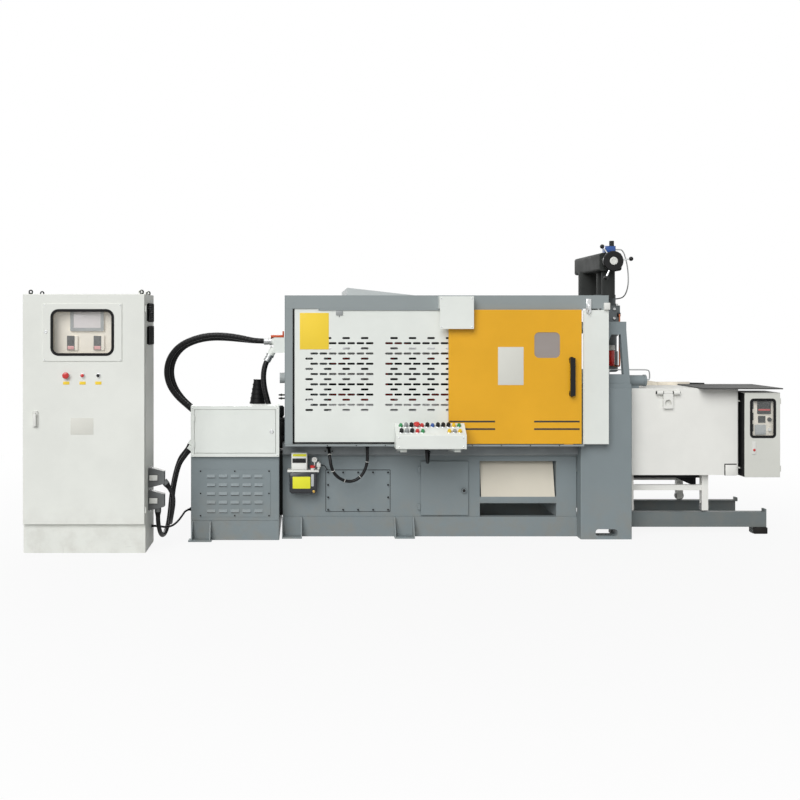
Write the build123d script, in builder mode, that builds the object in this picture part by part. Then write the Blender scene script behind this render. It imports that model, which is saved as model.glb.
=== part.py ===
# Hot chamber die casting machine with its switch cabinet, hydraulic pump base and holding furnace.
# Millimetres, +Z up, floor at z = 0, operator side towards -Y, furnace end towards +X.
from math import atan2, cos, degrees, pi, radians, sin, tan
import os

from build123d import *

os.makedirs("parts", exist_ok=True)

# Clearances
SEAT_GAP = 0.3
DOOR_GAP = 2.0
RUNNING_GAP = 0.1
SLIDE_GAP = 0.5

# Sheet and plate stock
SHEET = 3.0
PLATE = 12.0
EDGE_RADIUS = 6.0

# Machine centre line, shared by clamp, shot unit and furnace
CENTRE_Y = 220.0

# Switch cabinet
CABINET_X = -2201.5
CABINET_WIDTH = 800.0
CABINET_HEIGHT = 1700.0
CABINET_FRONT = -720.0
CABINET_DEPTH = 400.0
CABINET_PLINTH = 190.0
CABINET_RIM = 35.0
CABINET_DOOR_DEPTH = 25.0
CABINET_PIN_OFFSET = 5.0
SEAM = 3.0
MOUNT_PLATE_MARGIN = 70.0
MOUNT_PLATE_OFFSET = 22.0
STANDOFF_RADIUS = 7.0
EYE_INSET = 38.0
EYE_RING = 11.0
EYE_WIRE = 4.0
VENT_WIDTH = 240.0
VENT_HEIGHT = 125.0
VENT_DEPTH = 8.0
VENT_RIM = 20.0
VENT_Y = -506.0
VENT_Z = 1580.0
VENT_ROWS = 2
VENT_PITCH = 153.0
VENT_SLOTS = 5
VENT_SLOT_HEIGHT = 9.0
WINDOW_X = -2209.0
WINDOW_Z = 1448.0
WINDOW_DOOR_WIDTH = 518.0
WINDOW_DOOR_HEIGHT = 378.0
WINDOW_DOOR_DEPTH = 6.0
WINDOW_WIDTH = 396.0
WINDOW_HEIGHT = 287.0
WINDOW_RADIUS = 43.0
WINDOW_LAP = 12.0
PANE = 4.0
TRAY_DEPTH = 64.0
SCREEN_WIDTH = 222.0
SCREEN_HEIGHT = 150.0
SCREEN_DEPTH = 14.0
SCREEN_X = -2189.0
SCREEN_BOTTOM = 1456.0
METER_WIDTH = 50.0
METER_HEIGHT = 95.0
METER_DEPTH = 12.0
METER_Z = 1378.0
METER_SPREAD = 175.0
BUTTON_Z = 1167.0
BUTTON_COLLAR = 14.0
STOP_X = -2315.0
STOP_RADIUS = 22.0
STOP_RISE = 11.0
LAMP_X = -2208.0
LAMP_RADIUS = 16.0
KEY_X = -2105.0
KEY_RADIUS = 15.5
BUTTON_NECK_SHARE = 0.72
BUTTON_FLANGE_SHARE = 0.95
LEGEND_WIDTH = 41.0
LEGEND_HEIGHT = 20.0
LEGEND_DROP = 50.0
LEGEND_DEPTH = 1.5
HANDLE_X = -2517.0
HANDLE_Z = 882.0
HANDLE_WIDTH = 36.0
HANDLE_HEIGHT = 110.0
HANDLE_BASE = 8.0
LEVER_WIDTH = 20.0
LEVER_HEIGHT = 84.0
LEVER_DEPTH = 16.0
HOOD_Y = -545.0
HOOD_WIDTH = 58.0
HOOD_REACH = 107.0
HOOD_HEIGHT = 128.0
HOOD_TOPS = (541.0, 388.0)
HOOD_BASE = 24.0
HOOD_TAPER = 22.0
LATCH = 7.0
LATCH_REACH = 58.85
LATCH_DROP = 48.64
LATCH_HEIGHT = 30.72

# Pump base and junction box
BASE_LEFT = -1547.5
BASE_WIDTH = 614.5
BASE_FRONT = -284.0
BASE_HEIGHT = 583.0
BASE_PLINTH = 138.0
FOOT_PLATE = 12.0
FOOT_REACH = 66.0
FOOT_WIDTH = 160.0
GUSSET_TOP_SHARE = 0.2
GUSSET = 8.0
LOUVRE_PANEL_WIDTH = 494.0
LOUVRE_PANEL_HEIGHT = 327.0
LOUVRE_PANEL_INSET = 305.5
LOUVRE_PANEL_Z = 325.5
LOUVRE_COUNT = 5
LOUVRE_PITCH_X = 82.5
LOUVRE_PITCH_Z = 60.5
LOUVRE_WIDTH = 58.0
LOUVRE_HEIGHT = 20.0
LOUVRE_RISE = 9.0
JBOX_FRONT = -310.0
JBOX_DEPTH = 200.0
JBOX_HEIGHT = 351.0
JBOX_RIM = 23.0
JBOX_DOOR_DEPTH = 15.0
JBOX_RECESS = 2.0
KNUCKLE_RADIUS = 5.2
KNUCKLE_LENGTH = 40.0
KNUCKLE_PROUD = 3.0
KNUCKLE_INSET = 60.0
BREATHER_INSET = 445.5
BREATHER_Y = 110.0
BREATHER_RADIUS = 60.0
BREATHER_SHOULDER = 900.0
BREATHER_NECK = 1098.0
BREATHER_NECK_RADIUS = 26.0
BREATHER_RINGS = 7
BREATHER_RING = 4.0
GLAND_LENGTH = 15.0
GLAND_WALL = 7.0

# Bed
BED_LEFT = -911.0
BED_RIGHT = 1171.0
BED_FRONT = -157.0
PLINTH_HEIGHT = 139.0
CHANNEL_WEB = 8.0
CHANNEL_FLANGE = 60.0
CHANNEL_LEAF = 10.0
BED_PLATE_SETBACK = 12.0
BED_RAIL_BOTTOM = 574.5
BED_RAIL_TOP = 660.0
BED_RAIL_OVERHANG = 30.0
BED_RAIL_WIDTH = 127.0
BED_FOOT_WIDTH = 140.0
BED_FOOT_REACH = 83.0
BED_FOOT_XS = (-845.0, -54.0)
COVER_X = -378.0
COVER_Z = 322.0
COVER_WIDTH = 452.0
COVER_HEIGHT = 290.0
COVER_SHEET = 4.0
COVER_LAP = 28.0
ACCESS_LEFT = 66.0
ACCESS_WIDTH = 337.0
ACCESS_BOTTOM = 150.0
ACCESS_HEIGHT = 383.0
ACCESS_DEPTH = 14.6
ACCESS_LAP = 20.0
ACCESS_PIN_OFFSET = 6.0
ACCESS_PIN_RADIUS = 5.0
ACCESS_KNOB_RADIUS = 17.0
ACCESS_KNOB_REACH = 22.0
ACCESS_KNOB_INSET = 34.0
ACCESS_KNOB_Z = 328.0
CHUTE_LEFT = 486.0
CHUTE_RIGHT = 1028.0
CHUTE_TOP = 532.0
CHUTE_LIP_TOP = 279.0
CHUTE_LIP_BOTTOM = 233.0
CHUTE_BACK = -62.0
CHUTE_SIDE_GAP = 10.0
CHUTE_SHEET = 6.0

# Clamp unit
CLAMP_Z = 1104.0
PLATEN_SIZE = 600.0
PLATEN_RADIUS = 40.0
PLATEN_LEG = 155.0
REAR_PLATEN_X = -700.0
REAR_PLATEN_THICK = 110.0
MOVING_PLATEN_X = 420.0
MOVING_PLATEN_THICK = 110.0
FIXED_PLATEN_X = 1035.0
FIXED_PLATEN_THICK = 125.0
EJECTOR_HOLE = 60.0
TIE_BAR_RADIUS = 35.0
TIE_BAR_SPACING = 400.0
TIE_NUT_RADIUS = 56.0
TIE_NUT_LENGTH = 40.0
LINK_PLATE = 22.0
LINK_EYE = 46.0
LINK_PIN = 20.0
LINK_BAY = 110.0
LINK_PIVOT_Z = 150.0
KNEE_Z = 225.0
KNEE_X = -110.0
CROSSHEAD_X = -190.0
CROSSHEAD_LENGTH = 90.0
CROSSHEAD_HEIGHT = 150.0
CLAMP_BARREL_RADIUS = 75.0
CLAMP_ROD_RADIUS = 32.0
CLAMP_STUB_RADIUS = 40.0
CLAMP_STUB_REACH = 47.0
MANIFOLD_WIDTH = 86.0
MANIFOLD_HEIGHT = 110.0
MANIFOLD_DEPTH = 122.0
MANIFOLD_Y = 14.0
MANIFOLD_Z = 1352.0

# Guard
GUARD_FRONT = -320.0
GUARD_LEFT = -890.0
GUARD_RIGHT = 1349.0
POST_WIDTH = 50.0
POST_DEPTH = 60.0
BEAM_BOTTOM = 1610.0
BEAM_TOP = 1702.0
CROSS_BEAM_BOTTOM = 1626.0
RIGHT_CROSS_X = 1290.0
SILL = 12.0
SILL_FRONT = -352.0
TRACK = 6.0
TRACK_HEIGHT = 12.0
TRACK_LEFT = -660.0
PANEL_SETBACK = 8.0
PANEL_RIGHT = 295.0
SLOT_LENGTH = 53.0
SLOT_HEIGHT = 14.6
SLOT_PITCH_X = 64.1
SLOT_PITCH_Z = 35.6
SLOT_ROWS = 15
SLOT_TOP_Z = 1406.0
SLOT_FIELDS = (-690.0, -171.0)
SLOT_OFFSETS = (-34.6, 34.6)
FULL_ROW_SLOTS = 7
OPEN_ROW_SLOTS = 4
RIGHT_PANEL_LEFT = 1170.0
RIGHT_PANEL_TOP = 1600.0
RIGHT_PANEL_EAR = 36.0
RIGHT_PANEL_EAR_TOP = 1646.0
HOOD_COVER_LEFT = 170.0
HOOD_COVER_RIGHT = 403.0
HOOD_COVER_BOTTOM = 1470.0
HOOD_COVER_TOP = 1694.0
HOOD_COVER_FRONT = -400.0
TOP_COVER_LEFT = -461.0
TOP_COVER_RIGHT = 10.0
TOP_COVER_RISE = 53.0
TOP_COVER_SHEET = 4.0
TOP_COVER_SPREAD = 9.0

# Sliding safety door
DOOR_LEFT = 238.0
DOOR_WIDTH = 917.0
DOOR_BOTTOM = 676.0
DOOR_HEIGHT = 926.0
DOOR_FRONT = -350.0
DOOR_DEPTH = 24.0
PORT_X = 916.0
PORT_Z = 1358.0
PORT_SIZE = 176.0
PORT_RADIUS = 32.0
PORT_PANE_LAP = 10.0
GRAB_X = 1085.0
GRAB_Z = 1140.0
GRAB_HEIGHT = 262.0
GRAB_WIDTH = 34.0
GRAB_REACH = 42.0
GRAB_BAR = 14.0
ROLLER_WIDTH = 60.0
ROLLER_INSET = 90.0

# Console
CONSOLE_LEFT = -141.0
CONSOLE_WIDTH = 476.0
CONSOLE_FRONT = -520.0
CONSOLE_BACK = -400.0
CONSOLE_BOTTOM = 659.0
CONSOLE_FACE_TOP = 752.0
CONSOLE_TOP = 830.0
CONSOLE_ARM = 42.0
CONSOLE_ARM_INSET = 34.0
CONSOLE_ARM_DROP = 40.0
CONSOLE_ARM_PLATE = 12.0
KNOB_COUNT = 12
KNOB_PITCH = 36.0
KNOB_ROW_GAP = 62.0
KNOB_RADIUS = 14.0
KNOB_REACH = 26.0

# Lubricator
LUBE_X = -766.0
LUBE_FLANGE_WIDTH = 221.0
LUBE_FLANGE_Z = 468.0
LUBE_FLANGE = 14.0
LUBE_REACH = 112.0
LUBE_TANK_WIDTH = 192.0
LUBE_TANK_HEIGHT = 152.0
LUBE_TANK_DEPTH = 88.0
LUBE_TANK_BACK = 14.0
LUBE_HEAD_WIDTH = 112.0
LUBE_HEAD_HEIGHT = 122.0
LUBE_HEAD_DEPTH = 58.0
LUBE_HEAD_X = -793.0
LUBE_HEAD_CORNER = 8.0
GAUGE_X = -686.0
GAUGE_Z = 550.0
GAUGE_RADIUS = 20.0
GAUGE_DEPTH = 22.0

# Pillars and shot unit
PILLAR_LEFT = 1171.5
PILLAR_WIDTH = 357.5
PILLAR_FRONT = -260.0
PILLAR_THICK = 110.0
PILLAR_HEIGHT = 1054.0
FORK_X = 1352.0
FORK_WIDTH = 152.0
FORK_BOTTOM = 22.0
FORK_TOP = 71.0
FORK_RADIUS = 20.0
SHOT_X = 1475.0
CHEEK_THICK = 50.0
CHEEK_SETBACK = 30.0
CHEEK_LEFT = 1200.0
CHEEK_HEAD_LEFT = 1365.0
CHEEK_HEAD_RIGHT = 1499.0
CHEEK_FLANGE = 30.0
CROSSBAR_BOTTOM = 1462.0
CROSSBAR_TOP = 1520.0
CHEEK_BAR = 42.0
CHEEK_WINDOW = (1150.0, 1430.0)
SADDLE_RIGHT = 1578.0
SADDLE_WIDTH = 240.0
SHOT_RADIUS = 68.0
SHOT_BOTTOM = 1180.0
SHOT_BLOCK = 178.0
SHOT_BLOCK_TOP = 1640.0
SHOT_ROD_RADIUS = 30.0
SHOT_NECK_RADIUS = 80.0
SHOT_NECK_TOP = 1720.0
OVERARM_FRONT = 30.0
OVERARM_BACK = 730.0
OVERARM_WIDTH = 160.0
OVERARM_X = 1465.0
OVERARM_BOTTOM = 1890.0
OVERARM_TOP = 2020.0
OVERARM_ROUND = 18.0
COLUMN_RADIUS = 58.0
MOTOR_Y = 560.0
MOTOR_RADIUS = 92.0
MOTOR_BOTTOM = 1712.0
SPINDLE_Y = 92.0
SPINDLE_RADIUS = 48.0
SPINDLE_BOTTOM = 1696.0
VALVE_WIDTH = 77.0
VALVE_DEPTH = 70.0
VALVE_TOP = 2071.0
VALVE_FITTING_RADIUS = 17.0
VALVE_FITTING_TOP = 2110.0
WHEEL_X = 1468.0
WHEEL_Z = 1958.0
WHEEL_RADIUS = 73.0
WHEEL_FRONT = -35.0
WHEEL_THICK = 30.0
WHEEL_HUB_RADIUS = 28.0
WHEEL_HUB_PROUD = 6.0
WHEEL_SHAFT_RADIUS = 16.0
SPOKE_COUNT = 3
SPOKE_START = 7.0
SPOKE_REACH = 131.0
SPOKE_RADIUS = 5.5
SPOKE_BALL = 16.0

# Furnace and its trolley
FURNACE_LEFT = 1225.0
FURNACE_LENGTH = 1107.0
FURNACE_WIDTH = 680.0
FURNACE_BOTTOM = 429.0
FURNACE_TOP = 1045.0
FURNACE_CORNER = 12.0
LID_LEFT = 1610.0
LID_LENGTH = 287.0
LID_FRONT = 300.0
LID_WIDTH = 190.0
LID_THICK = 24.0
LID_BEVEL = 5.0
HOOK_Y = 335.0
HOOK_RADIUS = 6.0
HOOK_LENGTH = 124.0
HOOK_LIFT = 13.0
LUG_X = 1823.5
LUG_Z = 1017.0
LUG_LENGTH = 161.0
LUG_PIN_RADIUS = 9.0
LUG_COLLAR_RADIUS = 16.0
LUG_COLLAR_LENGTH = 42.0
LUG_STANDOFF = 18.0
LUG_TAB_WIDTH = 68.0
LUG_TAB_BOTTOM = 904.0
LUG_TAB_THICK = 12.0
LUG_EYE_RADIUS = 24.0
LUG_EYE_Z = 942.0
SHELF_LEFT = 2045.0
SHELF_RIGHT = 2605.0
SHELF_FRONT = -220.0
SHELF_BACK = 300.0
SHELF_THICK = 8.0
CBOX_LEFT = 2347.5
CBOX_WIDTH = 248.5
CBOX_FRONT = -190.0
CBOX_DEPTH = 250.0
CBOX_BOTTOM = 423.0
CBOX_TOP = 1019.0
CBOX_DOOR_DEPTH = 18.0
CBOX_RIM = 16.0
CBOX_PIN_OFFSET = 5.0
CBOX_BRACKET = 60.0
CBOX_WINDOW_WIDTH = 165.0
CBOX_WINDOW_HEIGHT = 260.0
CBOX_WINDOW_X = 2474.5
CBOX_WINDOW_Z = 839.0
CBOX_WINDOW_RADIUS = 12.0
CARRIAGE_Y = -82.0
CARRIAGE_Z = 1100.0
CARRIAGE_RADIUS = 38.5
CARRIAGE_LEFT = 1300.0
CARRIAGE_RIGHT = 1681.0
CARRIAGE_CAP = 16.0
CARRIAGE_CAP_RADIUS = 42.0
CARRIAGE_FOOT_X = 1600.0
CARRIAGE_FOOT = 60.0
RAIL_LEFT = 1440.0
RAIL_RIGHT = 2559.0
RAIL_FRONT = -54.0
RAIL_WIDTH = 50.0
RAIL_BOTTOM = 47.5
RAIL_TOP = 155.0
RAIL_WALL = 8.0
RAIL_FOOT_LENGTH = 97.0
RAIL_STOP = 14.0
RAIL_STOP_HEIGHT = 20.0
LEG_WIDTH = 46.0
LEG_XS = (1583.0, 2119.0)
LEG_BOTTOM = 166.0
BAR_BOTTOM = 309.0
BAR_HEIGHT = 38.0
BAR_WIDTH = 34.0
CROSS_HEIGHT = 40.0
TROLLEY_WHEEL_RADIUS = 33.0
TROLLEY_WHEEL_WIDTH = 24.0
FORK_SLOT = 28.0
AXLE_RADIUS = 8.0
FORK_SLOT_TOP = 232.0

# Hoses and cables
HOSE_DIAMETER = 40.0
POWER_DIAMETER = 30.0
LEAD_DIAMETER = 14.0
LOOP_DIAMETER = 22.0
CONSOLE_LEAD_DIAMETER = 19.0
CORD_FILL = 0.45
HOSE_INSETS = (117.5, 137.5)
HOSE_BASE_YS = (-10.0, 46.0)
HOSE_END_YS = (-14.0, 42.0)
HOSE_END_Z = 1380.0
RETURN_LEAN = 30.0
RETURN_LENGTH = 55.0
RETURN_START_Z = 1330.0
RETURN_INSET = 32.0
RETURN_END_Y = -2.0
SLANT = (3 / 5, 4 / 5)
SLANT_GLAND_LENGTH = 30.0
SLANT_GLAND_DEPTH = 5.0
HOOD_GLAND_RISE = 40.0
HOOD_GLAND_INSET = 61.5
JBOX_GLAND_YS = (-262.0, -215.0)
JBOX_GLAND_RISES = (67.0, 97.0)
LEAD_START_Y = -420.0
LEAD_START_Z = 125.0
LEAD_END_Y = -158.0
LEAD_END_Z = 197.0
LEAD_GLAND_LENGTH = 25.0
LOOP_START_X = -586.0
LOOP_START_Z = 632.0
LOOP_END_X = -319.0
LOOP_END_Y = -272.0
CONSOLE_LEAD_X = 72.0
CONSOLE_LEAD_Y = -458.0
CONSOLE_LEAD_END_X = 116.0
CONSOLE_LEAD_END_Z = 600.0
SILL_LAP = 12.0


def rear_of(y):
    """The matching place on the far side of the machine's centre line."""
    return 2 * CENTRE_Y - y


def block(x, y, z, mode=Mode.ADD):
    """A box between the low and high ends given for each direction."""
    with Locations(((x[0] + x[1]) / 2, (y[0] + y[1]) / 2, (z[0] + z[1]) / 2)):
        Box(x[1] - x[0], y[1] - y[0], z[1] - z[0], mode=mode)


def rod(start, along, length, radius, mode=Mode.ADD):
    """A round bar from a point along a direction."""
    with BuildSketch(Plane(origin=start, z_dir=along)) as disc:
        Circle(radius)
    extrude(disc.sketch, amount=length, mode=mode)


def finish(piece, name):
    """Labels a piece and writes its file."""
    piece.part.label = name
    export_step(piece.part, f"parts/{name}.step")


def cord_radii(points):
    """The largest arc that the two runs beside each corner leave room for."""
    runs = [b - a for a, b in zip(points, points[1:])]
    radii = []
    for before, after in zip(runs, runs[1:]):
        shorter = min(before.length, after.length)
        radii.append(CORD_FILL * shorter / tan(radians(before.get_angle(after) / 2)))
    return radii


def cord(name, diameter, start, places, end):
    """A round cord of straight runs and tangent arcs; each end is a place, a way out and a reach."""
    first, second = start[0], start[0] + start[1] * start[2]
    last, last_but_one = end[0], end[0] + end[1] * end[2]
    points = [first, second, *(Vector(*place) for place in places), last_but_one, last]
    radii = cord_radii(points)
    with BuildPart() as tube:
        with BuildLine() as route:
            FilletPolyline(*points, radius=radii)
        with BuildSketch(Plane(origin=points[0], z_dir=points[1] - points[0])):
            Circle(diameter / 2)
        sweep(path=route.wires()[0])
    length = route.wires()[0].length
    share = tube.part.volume / (length * pi * diameter ** 2 / 4)
    print(f"{name}: {length:.0f} mm, smallest radius {min(radii) / diameter:.1f} d,"
          f" volume share {share:.4f}")
    finish(tube, name)


# Switch cabinet

CABINET_LEFT = CABINET_X - CABINET_WIDTH / 2
CABINET_RIGHT = CABINET_X + CABINET_WIDTH / 2
CABINET_BACK = CABINET_FRONT + CABINET_DEPTH
CABINET_MOUTH = CABINET_FRONT + CABINET_DOOR_DEPTH + DOOR_GAP
DOORWAY_BOTTOM = CABINET_PLINTH + CABINET_RIM
DOORWAY_TOP = CABINET_HEIGHT - CABINET_RIM
PLATE_FACE = CABINET_BACK - SHEET - MOUNT_PLATE_OFFSET
CABINET_PIN_X = CABINET_RIGHT - DOOR_GAP + CABINET_PIN_OFFSET
CABINET_PIN_Y = CABINET_FRONT + CABINET_DOOR_DEPTH / 2

with BuildPart() as cabinet_body:
    block((CABINET_LEFT, CABINET_RIGHT), (CABINET_MOUTH, CABINET_BACK), (0, CABINET_HEIGHT))
    block((CABINET_LEFT + SHEET, CABINET_RIGHT - SHEET), (CABINET_MOUTH + SHEET, CABINET_BACK - SHEET),
          (SHEET, CABINET_HEIGHT - SHEET), mode=Mode.SUBTRACT)
    block((CABINET_LEFT + CABINET_RIM, CABINET_RIGHT - CABINET_RIM), (CABINET_MOUTH, CABINET_MOUTH + SHEET),
          (DOORWAY_BOTTOM, DOORWAY_TOP), mode=Mode.SUBTRACT)
    for side in (-1, 1):
        for end in (DOORWAY_BOTTOM + MOUNT_PLATE_MARGIN, DOORWAY_TOP - MOUNT_PLATE_MARGIN):
            place = CABINET_X + side * (CABINET_WIDTH / 2 - 2 * MOUNT_PLATE_MARGIN)
            rod((place, CABINET_BACK - SHEET, end), (0, -1, 0),
                MOUNT_PLATE_OFFSET - SHEET - SEAT_GAP, STANDOFF_RADIUS)
    for row in range(VENT_ROWS):
        with Locations((CABINET_RIGHT + VENT_DEPTH / 2, VENT_Y, VENT_Z - row * VENT_PITCH)):
            Box(VENT_DEPTH, VENT_WIDTH, VENT_HEIGHT)
        for slot in range(VENT_SLOTS):
            drop = (slot - (VENT_SLOTS - 1) / 2) * VENT_HEIGHT / (VENT_SLOTS + 1)
            with Locations((CABINET_RIGHT + VENT_DEPTH / 2, VENT_Y, VENT_Z - row * VENT_PITCH + drop)):
                Box(VENT_DEPTH, VENT_WIDTH - 2 * VENT_RIM, VENT_SLOT_HEIGHT, mode=Mode.SUBTRACT)
    for place in (CABINET_LEFT + EYE_INSET, CABINET_RIGHT - EYE_INSET):
        for depth in (CABINET_MOUTH + EYE_INSET, CABINET_BACK - EYE_INSET):
            rod((place, depth, CABINET_HEIGHT), (0, 0, 1), EYE_WIRE * 2, EYE_WIRE * 2)
            with Locations((place, depth, CABINET_HEIGHT + EYE_WIRE + EYE_RING)):
                Torus(EYE_RING, EYE_WIRE, rotation=(90, 0, 0))
    for height in (DOORWAY_BOTTOM + KNUCKLE_INSET, DOORWAY_TOP - KNUCKLE_INSET):
        span = (height - KNUCKLE_LENGTH / 2, height + KNUCKLE_LENGTH / 2)
        block((CABINET_RIGHT, CABINET_RIGHT + SHEET), (CABINET_PIN_Y, CABINET_MOUTH + KNUCKLE_LENGTH), span)
        rod((CABINET_PIN_X, CABINET_PIN_Y, span[0]), (0, 0, 1), KNUCKLE_LENGTH, CABINET_PIN_OFFSET - SEAT_GAP)
    block((CABINET_LEFT + MOUNT_PLATE_MARGIN, CABINET_RIGHT - MOUNT_PLATE_MARGIN),
          (PLATE_FACE, PLATE_FACE + SHEET),
          (DOORWAY_BOTTOM, DOORWAY_TOP))
finish(cabinet_body, "cabinet_body")

DOOR_X = (CABINET_LEFT + DOOR_GAP, CABINET_RIGHT - DOOR_GAP)
DOOR_Z = (CABINET_PLINTH + DOOR_GAP, CABINET_HEIGHT - DOOR_GAP)
DOOR_BACK = CABINET_FRONT + CABINET_DOOR_DEPTH
SKIN_BACK = CABINET_FRONT + SHEET
WINDOW_DOOR_X = (WINDOW_X - WINDOW_DOOR_WIDTH / 2, WINDOW_X + WINDOW_DOOR_WIDTH / 2)
WINDOW_DOOR_Z = (WINDOW_Z - WINDOW_DOOR_HEIGHT / 2, WINDOW_Z + WINDOW_DOOR_HEIGHT / 2)

with BuildPart() as cabinet_door:
    block(DOOR_X, (CABINET_FRONT, DOOR_BACK), DOOR_Z)
    fillet(cabinet_door.faces().sort_by(Axis.Y)[0].edges(), SHEET)
    block((DOOR_X[0] + SHEET, DOOR_X[1] - SHEET), (SKIN_BACK, DOOR_BACK),
          (DOOR_Z[0] + SHEET, DOOR_Z[1] - SHEET), mode=Mode.SUBTRACT)
    block((WINDOW_DOOR_X[0] + WINDOW_LAP, WINDOW_DOOR_X[1] - WINDOW_LAP), (CABINET_FRONT, SKIN_BACK),
          (WINDOW_DOOR_Z[0] + WINDOW_LAP, WINDOW_DOOR_Z[1] - WINDOW_LAP), mode=Mode.SUBTRACT)
finish(cabinet_door, "cabinet_door")

with BuildPart() as cabinet_window_door:
    with BuildSketch(Plane.XZ.offset(-CABINET_FRONT)):
        with Locations((WINDOW_X, WINDOW_Z)):
            Rectangle(WINDOW_DOOR_WIDTH, WINDOW_DOOR_HEIGHT)
            RectangleRounded(WINDOW_WIDTH, WINDOW_HEIGHT, WINDOW_RADIUS, mode=Mode.SUBTRACT)
    extrude(amount=WINDOW_DOOR_DEPTH)
    chamfer(cabinet_window_door.edges().group_by(Axis.Y)[0].filter_by(GeomType.LINE), WINDOW_DOOR_DEPTH / 3)
finish(cabinet_window_door, "cabinet_window_door")

with BuildPart() as cabinet_window_pane:
    with BuildSketch(Plane.XZ.offset(-(CABINET_FRONT + SEAT_GAP))):
        with Locations((WINDOW_X, WINDOW_Z)):
            RectangleRounded(WINDOW_WIDTH + 2 * WINDOW_LAP, WINDOW_HEIGHT + 2 * WINDOW_LAP,
                             WINDOW_RADIUS + WINDOW_LAP)
    extrude(amount=-PANE)
finish(cabinet_window_pane, "cabinet_window_pane")

TRAY_FRONT = SKIN_BACK + SEAT_GAP
TRAY_BACK = TRAY_FRONT + TRAY_DEPTH
TRAY_FACE = TRAY_BACK - SHEET

with BuildPart() as cabinet_instrument_panel:
    block(WINDOW_DOOR_X, (TRAY_FRONT, TRAY_BACK), WINDOW_DOOR_Z)
    block((WINDOW_DOOR_X[0] + WINDOW_LAP, WINDOW_DOOR_X[1] - WINDOW_LAP), (TRAY_FRONT, TRAY_FACE),
          (WINDOW_DOOR_Z[0] + WINDOW_LAP, WINDOW_DOOR_Z[1] - WINDOW_LAP), mode=Mode.SUBTRACT)
    block((SCREEN_X - SCREEN_WIDTH / 2, SCREEN_X + SCREEN_WIDTH / 2), (TRAY_FACE - SCREEN_DEPTH, TRAY_FACE),
          (SCREEN_BOTTOM, SCREEN_BOTTOM + SCREEN_HEIGHT))
    for side in (-1, 1):
        with Locations((SCREEN_X + side * METER_SPREAD / 2, TRAY_FACE - METER_DEPTH / 2, METER_Z)):
            Box(METER_WIDTH, METER_DEPTH, METER_HEIGHT)
finish(cabinet_instrument_panel, "cabinet_instrument_panel")

with BuildPart() as cabinet_door_controls:
    for place, radius in ((STOP_X, STOP_RADIUS), (LAMP_X, LAMP_RADIUS), (KEY_X, KEY_RADIUS)):
        rod((place, CABINET_FRONT, BUTTON_Z), (0, -1, 0), BUTTON_COLLAR, radius * BUTTON_NECK_SHARE)
        rod((place, CABINET_FRONT, BUTTON_Z), (0, -1, 0), BUTTON_COLLAR / 3, radius * BUTTON_FLANGE_SHARE)
        block((place - LEGEND_WIDTH / 2, place + LEGEND_WIDTH / 2),
              (CABINET_FRONT - LEGEND_DEPTH, CABINET_FRONT),
              (BUTTON_Z - LEGEND_DROP - LEGEND_HEIGHT / 2, BUTTON_Z - LEGEND_DROP + LEGEND_HEIGHT / 2))
    with Locations((STOP_X, CABINET_FRONT - BUTTON_COLLAR, BUTTON_Z)):
        Cone(STOP_RADIUS * BUTTON_NECK_SHARE, STOP_RADIUS, STOP_RISE, rotation=(90, 0, 0),
             align=(Align.CENTER, Align.CENTER, Align.MIN))
    block((HANDLE_X - HANDLE_WIDTH / 2, HANDLE_X + HANDLE_WIDTH / 2),
          (CABINET_FRONT - HANDLE_BASE, CABINET_FRONT),
          (HANDLE_Z - HANDLE_HEIGHT / 2, HANDLE_Z + HANDLE_HEIGHT / 2))
    block((HANDLE_X - LEVER_WIDTH / 2, HANDLE_X + LEVER_WIDTH / 2),
          (CABINET_FRONT - HANDLE_BASE - LEVER_DEPTH, CABINET_FRONT - HANDLE_BASE),
          (HANDLE_Z - LEVER_HEIGHT / 2, HANDLE_Z + LEVER_HEIGHT / 2))
finish(cabinet_door_controls, "cabinet_door_controls")

HOOD_X = (CABINET_RIGHT, CABINET_RIGHT + HOOD_REACH)
HOOD_GLAND_Z = HOOD_TOPS[0] - HOOD_HEIGHT + HOOD_GLAND_RISE
HOOD_GLAND_WAY = (SLANT[0], 0, -SLANT[1])
POWER_GLAND = POWER_DIAMETER / 2 + GLAND_WALL

with BuildPart() as cabinet_connectors:
    for top in HOOD_TOPS:
        with BuildSketch(Plane.XZ.offset(-(HOOD_Y - HOOD_WIDTH / 2))):
            with BuildLine():
                Polyline((HOOD_X[0], top - HOOD_HEIGHT), (HOOD_X[0], top), (HOOD_X[0] + HOOD_BASE, top),
                         (HOOD_X[1], top - HOOD_TAPER), (HOOD_X[1], top - HOOD_HEIGHT + HOOD_TAPER),
                         (HOOD_X[0] + HOOD_BASE, top - HOOD_HEIGHT), close=True)
            make_face()
        extrude(amount=-HOOD_WIDTH)
        for side in (-1, 1):
            edge = HOOD_Y + side * (HOOD_WIDTH + LATCH) / 2
            block((HOOD_X[0] + HOOD_BASE / 2, HOOD_X[0] + LATCH_REACH), (edge - LATCH / 2, edge + LATCH / 2),
                  (top - LATCH_DROP - LATCH_HEIGHT, top - LATCH_DROP))
    rod((HOOD_X[1] - SLANT_GLAND_DEPTH, HOOD_Y, HOOD_GLAND_Z), HOOD_GLAND_WAY, SLANT_GLAND_LENGTH,
        POWER_GLAND)
    rod((HOOD_X[0] + HOOD_GLAND_INSET, HOOD_Y, HOOD_TOPS[1] - HOOD_HEIGHT + HOOD_TAPER), (0, 0, -1),
        HOOD_TAPER + GLAND_LENGTH, POWER_GLAND)
finish(cabinet_connectors, "cabinet_connectors")

# Pump base and junction box

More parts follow.
